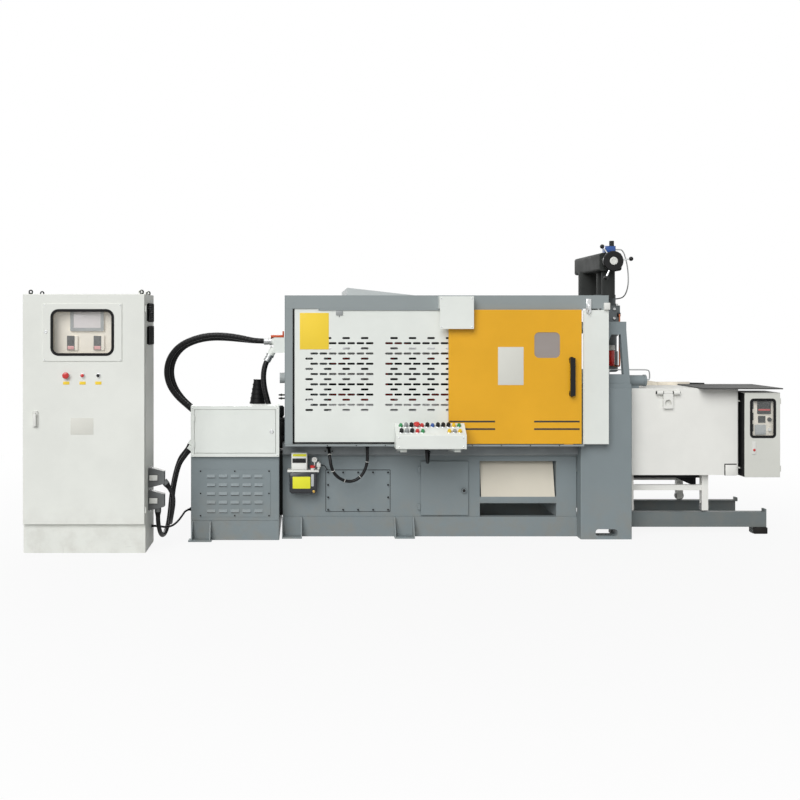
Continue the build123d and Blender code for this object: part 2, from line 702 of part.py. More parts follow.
BASE_RIGHT = BASE_LEFT + BASE_WIDTH
LOUVRE_PANEL_X = BASE_LEFT + LOUVRE_PANEL_INSET
HOSE_STARTS = [(BASE_LEFT + inset, depth) for inset, depth in zip(HOSE_INSETS, HOSE_BASE_YS)]
HOSE_GLAND = HOSE_DIAMETER / 2 + GLAND_WALL
LEAD_GLAND_WAY = (-SLANT[0], -SLANT[1], 0)
RETURN_END_X = BASE_RIGHT - RETURN_INSET
BASE_BACK = rear_of(BASE_FRONT)
FOOT_X = (BASE_LEFT - FOOT_PLATE, BASE_LEFT - FOOT_PLATE + FOOT_WIDTH)


def gusset(x, wall, reach, height, thick):
    """A triangular rib from a wall out to the edge of a foot plate."""
    with BuildSketch(Plane.YZ.offset(x)) as rib:
        with BuildLine():
            Polyline((wall, 0), (wall + reach, 0), (wall + reach, thick),
                     (wall + reach * GUSSET_TOP_SHARE, height),
                     (wall, height), close=True)
        make_face()
    extrude(rib.sketch, amount=thick)


with BuildPart() as pump_base:
    block((BASE_LEFT, BASE_RIGHT), (BASE_FRONT, BASE_BACK), (0, BASE_HEIGHT))
    fillet(pump_base.edges().filter_by(Axis.Z), EDGE_RADIUS)
    block((BASE_LEFT, BASE_RIGHT), (BASE_FRONT, BASE_FRONT + SEAM), (BASE_PLINTH - SEAM, BASE_PLINTH),
          mode=Mode.SUBTRACT)
    block((BASE_LEFT, BASE_LEFT + SEAM), (BASE_FRONT, BASE_BACK), (BASE_PLINTH - SEAM, BASE_PLINTH),
          mode=Mode.SUBTRACT)
    for wall, reach in ((BASE_FRONT, -FOOT_REACH), (BASE_BACK, FOOT_REACH)):
        block(FOOT_X, tuple(sorted((wall, wall + reach))), (0, FOOT_PLATE))
        for place in (BASE_LEFT + EDGE_RADIUS, FOOT_X[1] - 2 * GUSSET):
            gusset(place, wall, reach, BASE_PLINTH - 2 * SEAM, GUSSET)
    rod((BASE_LEFT + SHEET, LEAD_END_Y, LEAD_END_Z), LEAD_GLAND_WAY, LEAD_GLAND_LENGTH,
        LEAD_DIAMETER / 2 + GLAND_WALL)
    for place in (*HOSE_STARTS, (RETURN_END_X, RETURN_END_Y)):
        rod((*place, BASE_HEIGHT), (0, 0, 1), GLAND_LENGTH, HOSE_GLAND)
finish(pump_base, "pump_base")

with BuildPart() as pump_louvre_panel:
    with Locations((LOUVRE_PANEL_X, BASE_FRONT - SHEET / 2, LOUVRE_PANEL_Z)):
        Box(LOUVRE_PANEL_WIDTH, SHEET, LOUVRE_PANEL_HEIGHT)
    face = BASE_FRONT - SHEET
    for column in range(LOUVRE_COUNT):
        left = LOUVRE_PANEL_X + (column - (LOUVRE_COUNT - 1) / 2) * LOUVRE_PITCH_X - LOUVRE_WIDTH / 2
        for row in range(LOUVRE_COUNT):
            top = LOUVRE_PANEL_Z + ((LOUVRE_COUNT - 1) / 2 - row) * LOUVRE_PITCH_Z + LOUVRE_HEIGHT / 2
            with BuildSketch(Plane.YZ.offset(left)):
                with BuildLine():
                    Polyline((face, top), (face - LOUVRE_RISE, top - LOUVRE_HEIGHT),
                             (face, top - LOUVRE_HEIGHT),
                             close=True)
                make_face()
            extrude(amount=LOUVRE_WIDTH)
finish(pump_louvre_panel, "pump_louvre_panel")

JBOX_X = (BASE_LEFT + DOOR_GAP, BASE_RIGHT)
JBOX_GLANDS = [(y, BASE_HEIGHT + rise) for y, rise in zip(JBOX_GLAND_YS, JBOX_GLAND_RISES)]
JBOX_GLAND_WAY = (-SLANT[0], 0, -SLANT[1])
BREATHER_X = BASE_LEFT + BREATHER_INSET
JBOX_BACK = JBOX_FRONT + JBOX_DEPTH
JBOX_Z = (BASE_HEIGHT, BASE_HEIGHT + JBOX_HEIGHT)
JDOOR_X = (JBOX_X[0] + JBOX_RIM + DOOR_GAP, JBOX_X[1] - JBOX_RIM - DOOR_GAP)
JDOOR_Z = (JBOX_Z[0] + JBOX_RIM + DOOR_GAP, JBOX_Z[1] - JBOX_RIM - DOOR_GAP)
JDOOR_FRONT = JBOX_FRONT + JBOX_RECESS
JBOX_PIN_X = JDOOR_X[0] - DOOR_GAP / 2
JBOX_PIN_Y = JBOX_FRONT - KNUCKLE_PROUD

with BuildPart() as junction_box:
    block(JBOX_X, (JBOX_FRONT, JBOX_BACK), JBOX_Z)
    block((JBOX_X[0] + SHEET, JBOX_X[1] - SHEET),
          (JBOX_FRONT + JBOX_DOOR_DEPTH + 2 * DOOR_GAP, JBOX_BACK - SHEET),
          (JBOX_Z[0] + SHEET, JBOX_Z[1] - SHEET), mode=Mode.SUBTRACT)
    block((JBOX_X[0] + JBOX_RIM, JBOX_X[1] - JBOX_RIM),
          (JBOX_FRONT, JBOX_FRONT + JBOX_DOOR_DEPTH + 2 * DOOR_GAP),
          (JBOX_Z[0] + JBOX_RIM, JBOX_Z[1] - JBOX_RIM), mode=Mode.SUBTRACT)
    for height in (JDOOR_Z[0] + KNUCKLE_INSET, JDOOR_Z[1] - KNUCKLE_INSET):
        rod((JBOX_PIN_X, JBOX_PIN_Y, height - KNUCKLE_LENGTH / 2), (0, 0, 1), KNUCKLE_LENGTH, KNUCKLE_RADIUS)
    for depth, height in JBOX_GLANDS:
        rod((JBOX_X[0] + SLANT_GLAND_DEPTH, depth, height), JBOX_GLAND_WAY, SLANT_GLAND_LENGTH, POWER_GLAND)
finish(junction_box, "junction_box")

with BuildPart() as junction_box_door:
    block(JDOOR_X, (JDOOR_FRONT, JDOOR_FRONT + JBOX_DOOR_DEPTH), JDOOR_Z)
    fillet(junction_box_door.faces().sort_by(Axis.Y)[0].edges(), SHEET)
    block((JDOOR_X[0] + SHEET, JDOOR_X[1] - SHEET), (JDOOR_FRONT + SHEET, JDOOR_FRONT + JBOX_DOOR_DEPTH),
          (JDOOR_Z[0] + SHEET, JDOOR_Z[1] - SHEET), mode=Mode.SUBTRACT)
finish(junction_box_door, "junction_box_door")

with BuildPart() as oil_breather:
    with BuildSketch(Plane.XZ.offset(-BREATHER_Y)):
        with BuildLine():
            Polyline((BREATHER_X, BASE_HEIGHT), (BREATHER_X + BREATHER_RADIUS, BASE_HEIGHT),
                     (BREATHER_X + BREATHER_RADIUS, BREATHER_SHOULDER),
                     (BREATHER_X + BREATHER_NECK_RADIUS, BREATHER_NECK),
                     (BREATHER_X, BREATHER_NECK), close=True)
        make_face()
    revolve(axis=Axis((BREATHER_X, BREATHER_Y, 0), (0, 0, 1)))
    for ring in range(BREATHER_RINGS):
        share = ring / (BREATHER_RINGS - 1)
        radius = BREATHER_RADIUS + share * (BREATHER_NECK_RADIUS - BREATHER_RADIUS) + BREATHER_RING
        height = BREATHER_SHOULDER + share * (BREATHER_NECK - BREATHER_SHOULDER) - 2 * BREATHER_RING
        rod((BREATHER_X, BREATHER_Y, height), (0, 0, 1), 2 * BREATHER_RING, radius)
finish(oil_breather, "oil_breather")

# Bed

PLATE_FRONT = BED_FRONT + BED_PLATE_SETBACK
PLATE_BACK = PLATE_FRONT + PLATE
ACCESS_X = (ACCESS_LEFT, ACCESS_LEFT + ACCESS_WIDTH)
ACCESS_Z = (ACCESS_BOTTOM, ACCESS_BOTTOM + ACCESS_HEIGHT)
ACCESS_BACK = PLATE_FRONT - SEAT_GAP
ACCESS_FRONT = ACCESS_BACK - ACCESS_DEPTH
ACCESS_PIN_X = ACCESS_LEFT - ACCESS_PIN_OFFSET


def mirrored(y):
    """The low and high ends of a span and of its twin beyond the centre line."""
    return (y, (rear_of(y[1]), rear_of(y[0])))


with BuildPart() as bed_side_channels:
    for wall, turn in ((BED_FRONT, 1), (rear_of(BED_FRONT), -1)):
        block((BED_LEFT, BED_RIGHT), tuple(sorted((wall, wall + turn * CHANNEL_WEB))), (0, PLINTH_HEIGHT))
        for low in (0, PLINTH_HEIGHT - CHANNEL_LEAF):
            block((BED_LEFT, BED_RIGHT), tuple(sorted((wall, wall + turn * CHANNEL_FLANGE))),
                  (low, low + CHANNEL_LEAF))
        for place in BED_FOOT_XS:
            edges = (place - BED_FOOT_WIDTH / 2, place + BED_FOOT_WIDTH / 2)
            block(edges, tuple(sorted((wall, wall - turn * BED_FOOT_REACH))), (0, FOOT_PLATE))
            for side in (edges[0], edges[1] - GUSSET):
                gusset(side, wall, -turn * BED_FOOT_REACH, PLINTH_HEIGHT, GUSSET)
finish(bed_side_channels, "bed_side_channels")

with BuildPart() as bed_front_plate:
    block((BED_LEFT, BED_RIGHT), (PLATE_FRONT, PLATE_BACK), (PLINTH_HEIGHT, BED_RAIL_BOTTOM))
    block((COVER_X - COVER_WIDTH / 2 + COVER_LAP, COVER_X + COVER_WIDTH / 2 - COVER_LAP),
          (PLATE_FRONT, PLATE_BACK),
          (COVER_Z - COVER_HEIGHT / 2 + COVER_LAP, COVER_Z + COVER_HEIGHT / 2 - COVER_LAP),
          mode=Mode.SUBTRACT)
    block((ACCESS_X[0] + ACCESS_LAP, ACCESS_X[1] - ACCESS_LAP), (PLATE_FRONT, PLATE_BACK),
          (ACCESS_Z[0] + ACCESS_LAP, ACCESS_Z[1] - ACCESS_LAP), mode=Mode.SUBTRACT)
    block((CHUTE_LEFT, CHUTE_RIGHT), (PLATE_FRONT, PLATE_BACK), (PLINTH_HEIGHT, CHUTE_TOP),
          mode=Mode.SUBTRACT)
    for height in (ACCESS_Z[0] + KNUCKLE_INSET, ACCESS_Z[1] - KNUCKLE_INSET):
        span = (height - KNUCKLE_LENGTH / 2, height + KNUCKLE_LENGTH / 2)
        block((ACCESS_PIN_X - 3 * ACCESS_PIN_RADIUS, ACCESS_PIN_X), (ACCESS_FRONT, PLATE_FRONT), span)
        rod((ACCESS_PIN_X, ACCESS_FRONT, span[0]), (0, 0, 1), KNUCKLE_LENGTH, ACCESS_PIN_RADIUS)
    block((COVER_X - COVER_WIDTH / 2, COVER_X + COVER_WIDTH / 2),
          (PLATE_FRONT - SEAT_GAP - COVER_SHEET, PLATE_FRONT - SEAT_GAP),
          (COVER_Z - COVER_HEIGHT / 2, COVER_Z + COVER_HEIGHT / 2))
finish(bed_front_plate, "bed_front_plate")

INNER_Y = (PLATE_BACK + SEAT_GAP, rear_of(PLATE_BACK) - SEAT_GAP)
WEB_LEFTS = (BED_LEFT, ACCESS_X[0] - 2 * PLATE, ACCESS_X[1] + PLATE, CHUTE_LEFT - PLATE - SLIDE_GAP,
             CHUTE_RIGHT + SLIDE_GAP, BED_RIGHT - PLATE)

with BuildPart() as bed_web_plates:
    block((BED_LEFT, BED_RIGHT), (rear_of(PLATE_BACK), rear_of(PLATE_FRONT)),
          (PLINTH_HEIGHT, BED_RAIL_BOTTOM))
    for left in WEB_LEFTS:
        block((left, left + PLATE), INNER_Y, (PLINTH_HEIGHT, BED_RAIL_BOTTOM))
finish(bed_web_plates, "bed_web_plates")

BED_RAIL_FRONT = BED_FRONT - BED_RAIL_OVERHANG

with BuildPart() as bed_guide_rails:
    for edge, turn in ((BED_RAIL_FRONT, 1), (rear_of(BED_RAIL_FRONT), -1)):
        with BuildSketch(Plane.YZ.offset(BED_LEFT)):
            with BuildLine():
                Polyline((edge, BED_RAIL_BOTTOM + PLATE), (edge, BED_RAIL_TOP),
                         (edge + turn * BED_RAIL_WIDTH, BED_RAIL_TOP),
                         (edge + turn * BED_RAIL_WIDTH, BED_RAIL_BOTTOM),
                         (edge + turn * PLATE, BED_RAIL_BOTTOM),
                         close=True)
            make_face()
        extrude(amount=BED_RIGHT - BED_LEFT)
finish(bed_guide_rails, "bed_guide_rails")

with BuildPart() as bed_access_door:
    block(ACCESS_X, (ACCESS_FRONT, ACCESS_BACK), ACCESS_Z)
    fillet(bed_access_door.faces().sort_by(Axis.Y)[0].edges(), SHEET)
    block((ACCESS_X[0] + SHEET, ACCESS_X[1] - SHEET), (ACCESS_FRONT + SHEET, ACCESS_BACK),
          (ACCESS_Z[0] + SHEET, ACCESS_Z[1] - SHEET), mode=Mode.SUBTRACT)
    rod((ACCESS_X[1] - ACCESS_KNOB_INSET, ACCESS_FRONT, ACCESS_KNOB_Z), (0, -1, 0), ACCESS_KNOB_REACH,
        ACCESS_KNOB_RADIUS / 2)
    rod((ACCESS_X[1] - ACCESS_KNOB_INSET, ACCESS_FRONT - ACCESS_KNOB_REACH / 2, ACCESS_KNOB_Z), (0, -1, 0),
        ACCESS_KNOB_REACH / 2, ACCESS_KNOB_RADIUS)
finish(bed_access_door, "bed_access_door")

with BuildPart() as casting_chute:
    block((CHUTE_LEFT, CHUTE_RIGHT), (PLATE_FRONT, PLATE_FRONT + CHUTE_SHEET),
          (CHUTE_LIP_BOTTOM, CHUTE_LIP_TOP))
    with BuildSketch(Plane.YZ.offset(CHUTE_LEFT + CHUTE_SIDE_GAP)):
        with BuildLine():
            Polyline((PLATE_FRONT, CHUTE_LIP_TOP), (CHUTE_BACK, BED_RAIL_BOTTOM),
                     (CHUTE_BACK + CHUTE_SHEET, BED_RAIL_BOTTOM), (PLATE_FRONT + CHUTE_SHEET, CHUTE_LIP_TOP),
                     close=True)
        make_face()
    extrude(amount=CHUTE_RIGHT - CHUTE_LEFT - 2 * CHUTE_SIDE_GAP)
finish(casting_chute, "casting_chute")

# Clamp unit

PLATEN_Z = (CLAMP_Z - PLATEN_SIZE / 2, CLAMP_Z + PLATEN_SIZE / 2)
TIE_PLACES = [(CENTRE_Y + y * TIE_BAR_SPACING / 2, CLAMP_Z + z * TIE_BAR_SPACING / 2)
              for y in (-1, 1) for z in (-1, 1)]
LEG_SPAN = rear_of(BED_RAIL_FRONT) - BED_RAIL_FRONT - 2 * (SILL_LAP + SEAT_GAP)


def platen(left, thick, bore):
    """A platen on two legs that stand on the bed rails, bored for the tie bars and on its centre."""
    with BuildSketch(Plane.YZ.offset(left)) as outline:
        with Locations((CENTRE_Y, CLAMP_Z)):
            RectangleRounded(PLATEN_SIZE, PLATEN_SIZE, PLATEN_RADIUS)
        for side in (-1, 1):
            leg = CENTRE_Y + side * (LEG_SPAN - PLATEN_LEG) / 2
            with Locations((leg, (BED_RAIL_TOP + PLATEN_Z[0] + PLATEN_LEG) / 2)):
                Rectangle(PLATEN_LEG, PLATEN_Z[0] + PLATEN_LEG - BED_RAIL_TOP)
        with Locations((CENTRE_Y, CLAMP_Z)):
            Circle(bore, mode=Mode.SUBTRACT)
        with Locations(*TIE_PLACES):
            Circle(TIE_BAR_RADIUS + RUNNING_GAP, mode=Mode.SUBTRACT)
    extrude(outline.sketch, amount=thick)


with BuildPart() as rear_platen:
    platen(REAR_PLATEN_X, REAR_PLATEN_THICK, CLAMP_ROD_RADIUS + RUNNING_GAP)
finish(rear_platen, "rear_platen")

with BuildPart() as moving_platen:
    platen(MOVING_PLATEN_X, MOVING_PLATEN_THICK, EJECTOR_HOLE)
finish(moving_platen, "moving_platen")

with BuildPart() as fixed_platen:
    platen(FIXED_PLATEN_X, FIXED_PLATEN_THICK, EJECTOR_HOLE)
finish(fixed_platen, "fixed_platen")

TIE_LEFT = REAR_PLATEN_X - TIE_NUT_LENGTH
TIE_RIGHT = FIXED_PLATEN_X + FIXED_PLATEN_THICK

with BuildPart() as tie_bars:
    for y, z in TIE_PLACES:
        rod((TIE_LEFT, y, z), (1, 0, 0), TIE_RIGHT - TIE_LEFT, TIE_BAR_RADIUS)
        rod((TIE_LEFT, y, z), (1, 0, 0), TIE_NUT_LENGTH, TIE_NUT_RADIUS)
finish(tie_bars, "tie_bars")

REAR_PIVOT_X = REAR_PLATEN_X + REAR_PLATEN_THICK + LINK_EYE + SEAT_GAP
FRONT_PIVOT_X = MOVING_PLATEN_X - LINK_EYE - SEAT_GAP
BAY_HALF = 1.5 * LINK_PLATE


def link(start, end, near, far):
    """A flat toggle link between two pins, given as (x, z), from one face in y to the other."""
    run = Vector(*end) - Vector(*start)
    with BuildSketch(Plane.XZ.offset(-far)) as outline:
        with Locations(((start[0] + end[0]) / 2, (start[1] + end[1]) / 2)):
            SlotCenterToCenter(run.length, 2 * LINK_EYE, rotation=degrees(atan2(run.Y, run.X)))
    extrude(outline.sketch, amount=far - near)


with BuildPart() as toggle_links:
    for bay in (-1, 1):
        y = CENTRE_Y + bay * LINK_BAY
        for level in (-1, 1):
            rear = (REAR_PIVOT_X, CLAMP_Z + level * LINK_PIVOT_Z)
            knee = (KNEE_X, CLAMP_Z + level * KNEE_Z)
            front = (FRONT_PIVOT_X, CLAMP_Z + level * LINK_PIVOT_Z)
            arm = (CROSSHEAD_X, CLAMP_Z + level * CROSSHEAD_HEIGHT / 2)
            link(rear, knee, y - BAY_HALF, y - LINK_PLATE / 2)
            link(rear, knee, y + LINK_PLATE / 2, y + BAY_HALF)
            link(knee, front, y - LINK_PLATE / 2, y + LINK_PLATE / 2)
            link(knee, arm, y - LINK_PLATE / 4, y + LINK_PLATE / 4)
            for place in (rear, knee, front):
                rod((place[0], y - BAY_HALF - LINK_PLATE / 2, place[1]), (0, 1, 0),
                    2 * BAY_HALF + LINK_PLATE, LINK_PIN)
        block((CROSSHEAD_X - CROSSHEAD_LENGTH / 2, CROSSHEAD_X + CROSSHEAD_LENGTH / 2),
              (y - LINK_PLATE, y + LINK_PLATE),
              (CLAMP_Z - CROSSHEAD_HEIGHT / 2, CLAMP_Z + CROSSHEAD_HEIGHT / 2))
    block((CROSSHEAD_X - CROSSHEAD_LENGTH / 2, CROSSHEAD_X + CROSSHEAD_LENGTH / 2),
          (CENTRE_Y - LINK_BAY, CENTRE_Y + LINK_BAY),
          (CLAMP_Z - CROSSHEAD_HEIGHT / 3, CLAMP_Z + CROSSHEAD_HEIGHT / 3))
finish(toggle_links, "toggle_links")

END_PANEL_LEFT = GUARD_LEFT - COVER_SHEET
ROD_END_X = CROSSHEAD_X - CROSSHEAD_LENGTH / 2 - SEAT_GAP

with BuildPart() as clamp_cylinder:
    rod((GUARD_LEFT + SEAT_GAP, CENTRE_Y, CLAMP_Z), (1, 0, 0), REAR_PLATEN_X - GUARD_LEFT - 2 * SEAT_GAP,
        CLAMP_BARREL_RADIUS)
    rod((REAR_PLATEN_X - 2 * SEAT_GAP, CENTRE_Y, CLAMP_Z), (1, 0, 0),
        ROD_END_X - REAR_PLATEN_X + 2 * SEAT_GAP,
        CLAMP_ROD_RADIUS)
    rod((END_PANEL_LEFT - CLAMP_STUB_REACH, CENTRE_Y, CLAMP_Z), (1, 0, 0),
        CLAMP_STUB_REACH + COVER_SHEET + 2 * SEAT_GAP, CLAMP_STUB_RADIUS)
finish(clamp_cylinder, "clamp_cylinder")

MANIFOLD_LEFT = END_PANEL_LEFT - MANIFOLD_WIDTH
RETURN_ROOT = Vector(MANIFOLD_LEFT + SHEET, MANIFOLD_Y, RETURN_START_Z)
RETURN_WAY = Vector(-sin(radians(RETURN_LEAN)), 0, -cos(radians(RETURN_LEAN)))

with BuildPart() as clamp_manifold:
    block((MANIFOLD_LEFT, END_PANEL_LEFT),
          (MANIFOLD_Y - MANIFOLD_DEPTH / 2, MANIFOLD_Y + MANIFOLD_DEPTH / 2),
          (MANIFOLD_Z - MANIFOLD_HEIGHT / 2, MANIFOLD_Z + MANIFOLD_HEIGHT / 2))
    chamfer(clamp_manifold.edges().filter_by(Axis.Y), SHEET)
    for depth in HOSE_END_YS:
        rod((MANIFOLD_LEFT, depth, HOSE_END_Z), (-1, 0, 0), GLAND_LENGTH, HOSE_GLAND)
    rod(RETURN_ROOT, RETURN_WAY, RETURN_LENGTH, HOSE_GLAND)
finish(clamp_manifold, "clamp_manifold")

# Guard

SILL_TOP = BED_RAIL_TOP + SILL
POST_INNER = GUARD_FRONT + POST_DEPTH
REAR_FACE = rear_of(GUARD_FRONT)
RIGHT_POST_X = (GUARD_RIGHT - POST_WIDTH, GUARD_RIGHT)
LEFT_POST_X = (GUARD_LEFT, GUARD_LEFT + POST_WIDTH)

with BuildPart() as guard_frame:
    for post in mirrored((GUARD_FRONT, POST_INNER)):
        for place in (LEFT_POST_X, RIGHT_POST_X):
            block(place, post, (SILL_TOP, BEAM_BOTTOM - SEAT_GAP))
        block((GUARD_LEFT, GUARD_RIGHT), post, (BEAM_BOTTOM, BEAM_TOP))
    for left in (GUARD_LEFT, RIGHT_CROSS_X):
        block((left, left + POST_WIDTH), (POST_INNER + SEAT_GAP, rear_of(POST_INNER) - SEAT_GAP),
              (CROSS_BEAM_BOTTOM, BEAM_TOP))
    for sill in mirrored((SILL_FRONT, BED_RAIL_FRONT + SILL_LAP)):
        block((GUARD_LEFT, PILLAR_LEFT - SEAT_GAP), sill, (BED_RAIL_TOP, SILL_TOP - SEAT_GAP))
    block((TRACK_LEFT, RIGHT_PANEL_LEFT), (GUARD_FRONT, GUARD_FRONT + TRACK),
          (BEAM_BOTTOM - TRACK_HEIGHT, BEAM_BOTTOM - SEAT_GAP))
finish(guard_frame, "guard_frame")

PANEL_FRONT = GUARD_FRONT + PANEL_SETBACK

with BuildPart() as perforated_panel:
    block((LEFT_POST_X[1] + SEAT_GAP, PANEL_RIGHT), (PANEL_FRONT, PANEL_FRONT + SHEET),
          (SILL_TOP, BEAM_BOTTOM - SEAT_GAP))
    with BuildSketch(Plane.XZ.offset(-PANEL_FRONT)):
        for field, offset in zip(SLOT_FIELDS, SLOT_OFFSETS):
            for row in range(SLOT_ROWS):
                wide = row % 2 == 0
                count = OPEN_ROW_SLOTS if wide else FULL_ROW_SLOTS
                pitch = 2 * SLOT_PITCH_X if wide else SLOT_PITCH_X
                start = field + offset if wide else field
                with Locations(*[(start + n * pitch, SLOT_TOP_Z - row * SLOT_PITCH_Z) for n in range(count)]):
                    SlotOverall(SLOT_LENGTH, SLOT_HEIGHT)
    extrude(amount=-SHEET, mode=Mode.SUBTRACT)
finish(perforated_panel, "perforated_panel")

with BuildPart() as guard_rear_panels:
    block((LEFT_POST_X[1], RIGHT_POST_X[0]), (REAR_FACE - PANEL_SETBACK - SHEET, REAR_FACE - PANEL_SETBACK),
          (SILL_TOP, BEAM_BOTTOM - SEAT_GAP))
    block((END_PANEL_LEFT, GUARD_LEFT - SEAT_GAP), (GUARD_FRONT, REAR_FACE), (SILL_TOP, BEAM_TOP))
    rod((END_PANEL_LEFT, CENTRE_Y, CLAMP_Z), (1, 0, 0), COVER_SHEET, CLAMP_STUB_RADIUS + SLIDE_GAP,
        mode=Mode.SUBTRACT)
finish(guard_rear_panels, "guard_rear_panels")

with BuildPart() as guard_cover_plates:
    block((RIGHT_PANEL_LEFT, GUARD_RIGHT), (GUARD_FRONT - SHEET, GUARD_FRONT), (SILL_TOP, RIGHT_PANEL_TOP))
    block((GUARD_RIGHT - RIGHT_PANEL_EAR, GUARD_RIGHT), (GUARD_FRONT - SHEET, GUARD_FRONT),
          (RIGHT_PANEL_TOP, RIGHT_PANEL_EAR_TOP))
    block((HOOD_COVER_LEFT, HOOD_COVER_RIGHT), (HOOD_COVER_FRONT, HOOD_COVER_FRONT + SHEET),
          (HOOD_COVER_BOTTOM, HOOD_COVER_TOP))
    block((HOOD_COVER_LEFT, HOOD_COVER_RIGHT), (HOOD_COVER_FRONT, GUARD_FRONT),
          (HOOD_COVER_TOP - SHEET, HOOD_COVER_TOP))
    for left in (HOOD_COVER_LEFT, HOOD_COVER_RIGHT - SHEET):
        block((left, left + SHEET), (HOOD_COVER_FRONT, GUARD_FRONT), (BEAM_BOTTOM, HOOD_COVER_TOP))
finish(guard_cover_plates, "guard_cover_plates")

TOP_COVER_Y = (GUARD_FRONT + SHEET, REAR_FACE - SHEET)


def cover_wedge(inset, y, mode):
    """The lean-to form of the top cover, drawn in by a sheet's thickness for its inside."""
    with BuildSketch(Plane.XZ.offset(-y[1])) as outline:
        with BuildLine():
            Polyline((TOP_COVER_LEFT + inset, BEAM_TOP),
                     (TOP_COVER_LEFT + inset, BEAM_TOP + TOP_COVER_RISE - inset),
                     (TOP_COVER_RIGHT - inset * TOP_COVER_SPREAD, BEAM_TOP), close=True)
        make_face()
    extrude(outline.sketch, amount=y[1] - y[0], mode=mode)


with BuildPart() as top_cover:
    cover_wedge(0, TOP_COVER_Y, Mode.ADD)
    cover_wedge(TOP_COVER_SHEET, (TOP_COVER_Y[0] + TOP_COVER_SHEET, TOP_COVER_Y[1] - TOP_COVER_SHEET),
                Mode.SUBTRACT)
finish(top_cover, "top_cover")

# Sliding safety door

SDOOR_X = (DOOR_LEFT, DOOR_LEFT + DOOR_WIDTH)
SDOOR_Z = (DOOR_BOTTOM, DOOR_BOTTOM + DOOR_HEIGHT)
SDOOR_BACK = DOOR_FRONT + DOOR_DEPTH

with BuildPart() as safety_door:
    block(SDOOR_X, (DOOR_FRONT, SDOOR_BACK), SDOOR_Z)
    fillet(safety_door.faces().sort_by(Axis.Y)[0].edges(), SHEET)
    block((SDOOR_X[0] + SHEET, SDOOR_X[1] - SHEET), (DOOR_FRONT + SHEET, SDOOR_BACK),
          (SDOOR_Z[0] + SHEET, SDOOR_Z[1] - SHEET), mode=Mode.SUBTRACT)
    with BuildSketch(Plane.XZ.offset(-DOOR_FRONT)):
        with Locations((PORT_X, PORT_Z)):
            RectangleRounded(PORT_SIZE, PORT_SIZE, PORT_RADIUS)
    extrude(amount=-SHEET, mode=Mode.SUBTRACT)
    for place in (SDOOR_X[0] + ROLLER_INSET, SDOOR_X[1] - ROLLER_INSET):
        block((place - ROLLER_WIDTH / 2, place + ROLLER_WIDTH / 2), (DOOR_FRONT + SHEET, SDOOR_BACK - SHEET),
              (SILL_TOP + SEAT_GAP, SDOOR_Z[0] + SHEET))
        block((place - ROLLER_WIDTH / 2, place + ROLLER_WIDTH / 2),
              (DOOR_FRONT + SHEET, GUARD_FRONT - SEAT_GAP),
              (SDOOR_Z[1] - SHEET - ROLLER_WIDTH / 4, SDOOR_Z[1] - SHEET))
finish(safety_door, "safety_door")

with BuildPart() as safety_door_window:
    with BuildSketch(Plane.XZ.offset(-(DOOR_FRONT + SHEET + SEAT_GAP))):
        with Locations((PORT_X, PORT_Z)):
            RectangleRounded(PORT_SIZE + 2 * PORT_PANE_LAP, PORT_SIZE + 2 * PORT_PANE_LAP,
                             PORT_RADIUS + PORT_PANE_LAP)
    extrude(amount=-PANE)
finish(safety_door_window, "safety_door_window")

with BuildPart() as safety_door_handle:
    with BuildSketch(Plane.YZ.offset(GRAB_X - GRAB_WIDTH / 2)):
        with Locations((DOOR_FRONT - GRAB_REACH / 2, GRAB_Z)):
            Rectangle(GRAB_REACH, GRAB_HEIGHT)
        with Locations((DOOR_FRONT - (GRAB_REACH - GRAB_BAR) / 2, GRAB_Z)):
            Rectangle(GRAB_REACH - GRAB_BAR, GRAB_HEIGHT - 2 * GRAB_WIDTH, mode=Mode.SUBTRACT)
    extrude(amount=GRAB_WIDTH)
    fillet(safety_door_handle.faces().sort_by(Axis.Y)[0].edges(), GRAB_BAR / 3)
finish(safety_door_handle, "safety_door_handle")

# Console

CONSOLE_X = (CONSOLE_LEFT, CONSOLE_LEFT + CONSOLE_WIDTH)
ARM_TOP = CONSOLE_BOTTOM - CONSOLE_ARM_PLATE

with BuildPart() as console_housing:
    with BuildSketch(Plane.YZ.offset(CONSOLE_LEFT)):
        with BuildLine():
            Polyline((CONSOLE_FRONT, CONSOLE_BOTTOM), (CONSOLE_FRONT, CONSOLE_FACE_TOP),
                     (CONSOLE_BACK, CONSOLE_TOP),
                     (CONSOLE_BACK, CONSOLE_BOTTOM), close=True)
        make_face()
    extrude(amount=CONSOLE_WIDTH)
    fillet(console_housing.edges().filter_by(Axis.X), EDGE_RADIUS)
    for left in (CONSOLE_X[0] + CONSOLE_ARM_INSET, CONSOLE_X[1] - CONSOLE_ARM_INSET - CONSOLE_ARM):
        with BuildSketch(Plane.YZ.offset(left)):
            with BuildLine():
                Polyline((CONSOLE_FRONT + CONSOLE_ARM, CONSOLE_BOTTOM + SHEET),
                         (CONSOLE_BACK - SHEET, CONSOLE_BOTTOM + SHEET),
                         (CONSOLE_BACK - SHEET, ARM_TOP), (BED_RAIL_FRONT, ARM_TOP),
                         (BED_RAIL_FRONT, ARM_TOP - CONSOLE_ARM_DROP),
                         (CONSOLE_BACK, ARM_TOP - CONSOLE_ARM_PLATE),
                         (CONSOLE_FRONT + CONSOLE_ARM, ARM_TOP - CONSOLE_ARM_PLATE), close=True)
            make_face()
        extrude(amount=CONSOLE_ARM)
finish(console_housing, "console_housing")

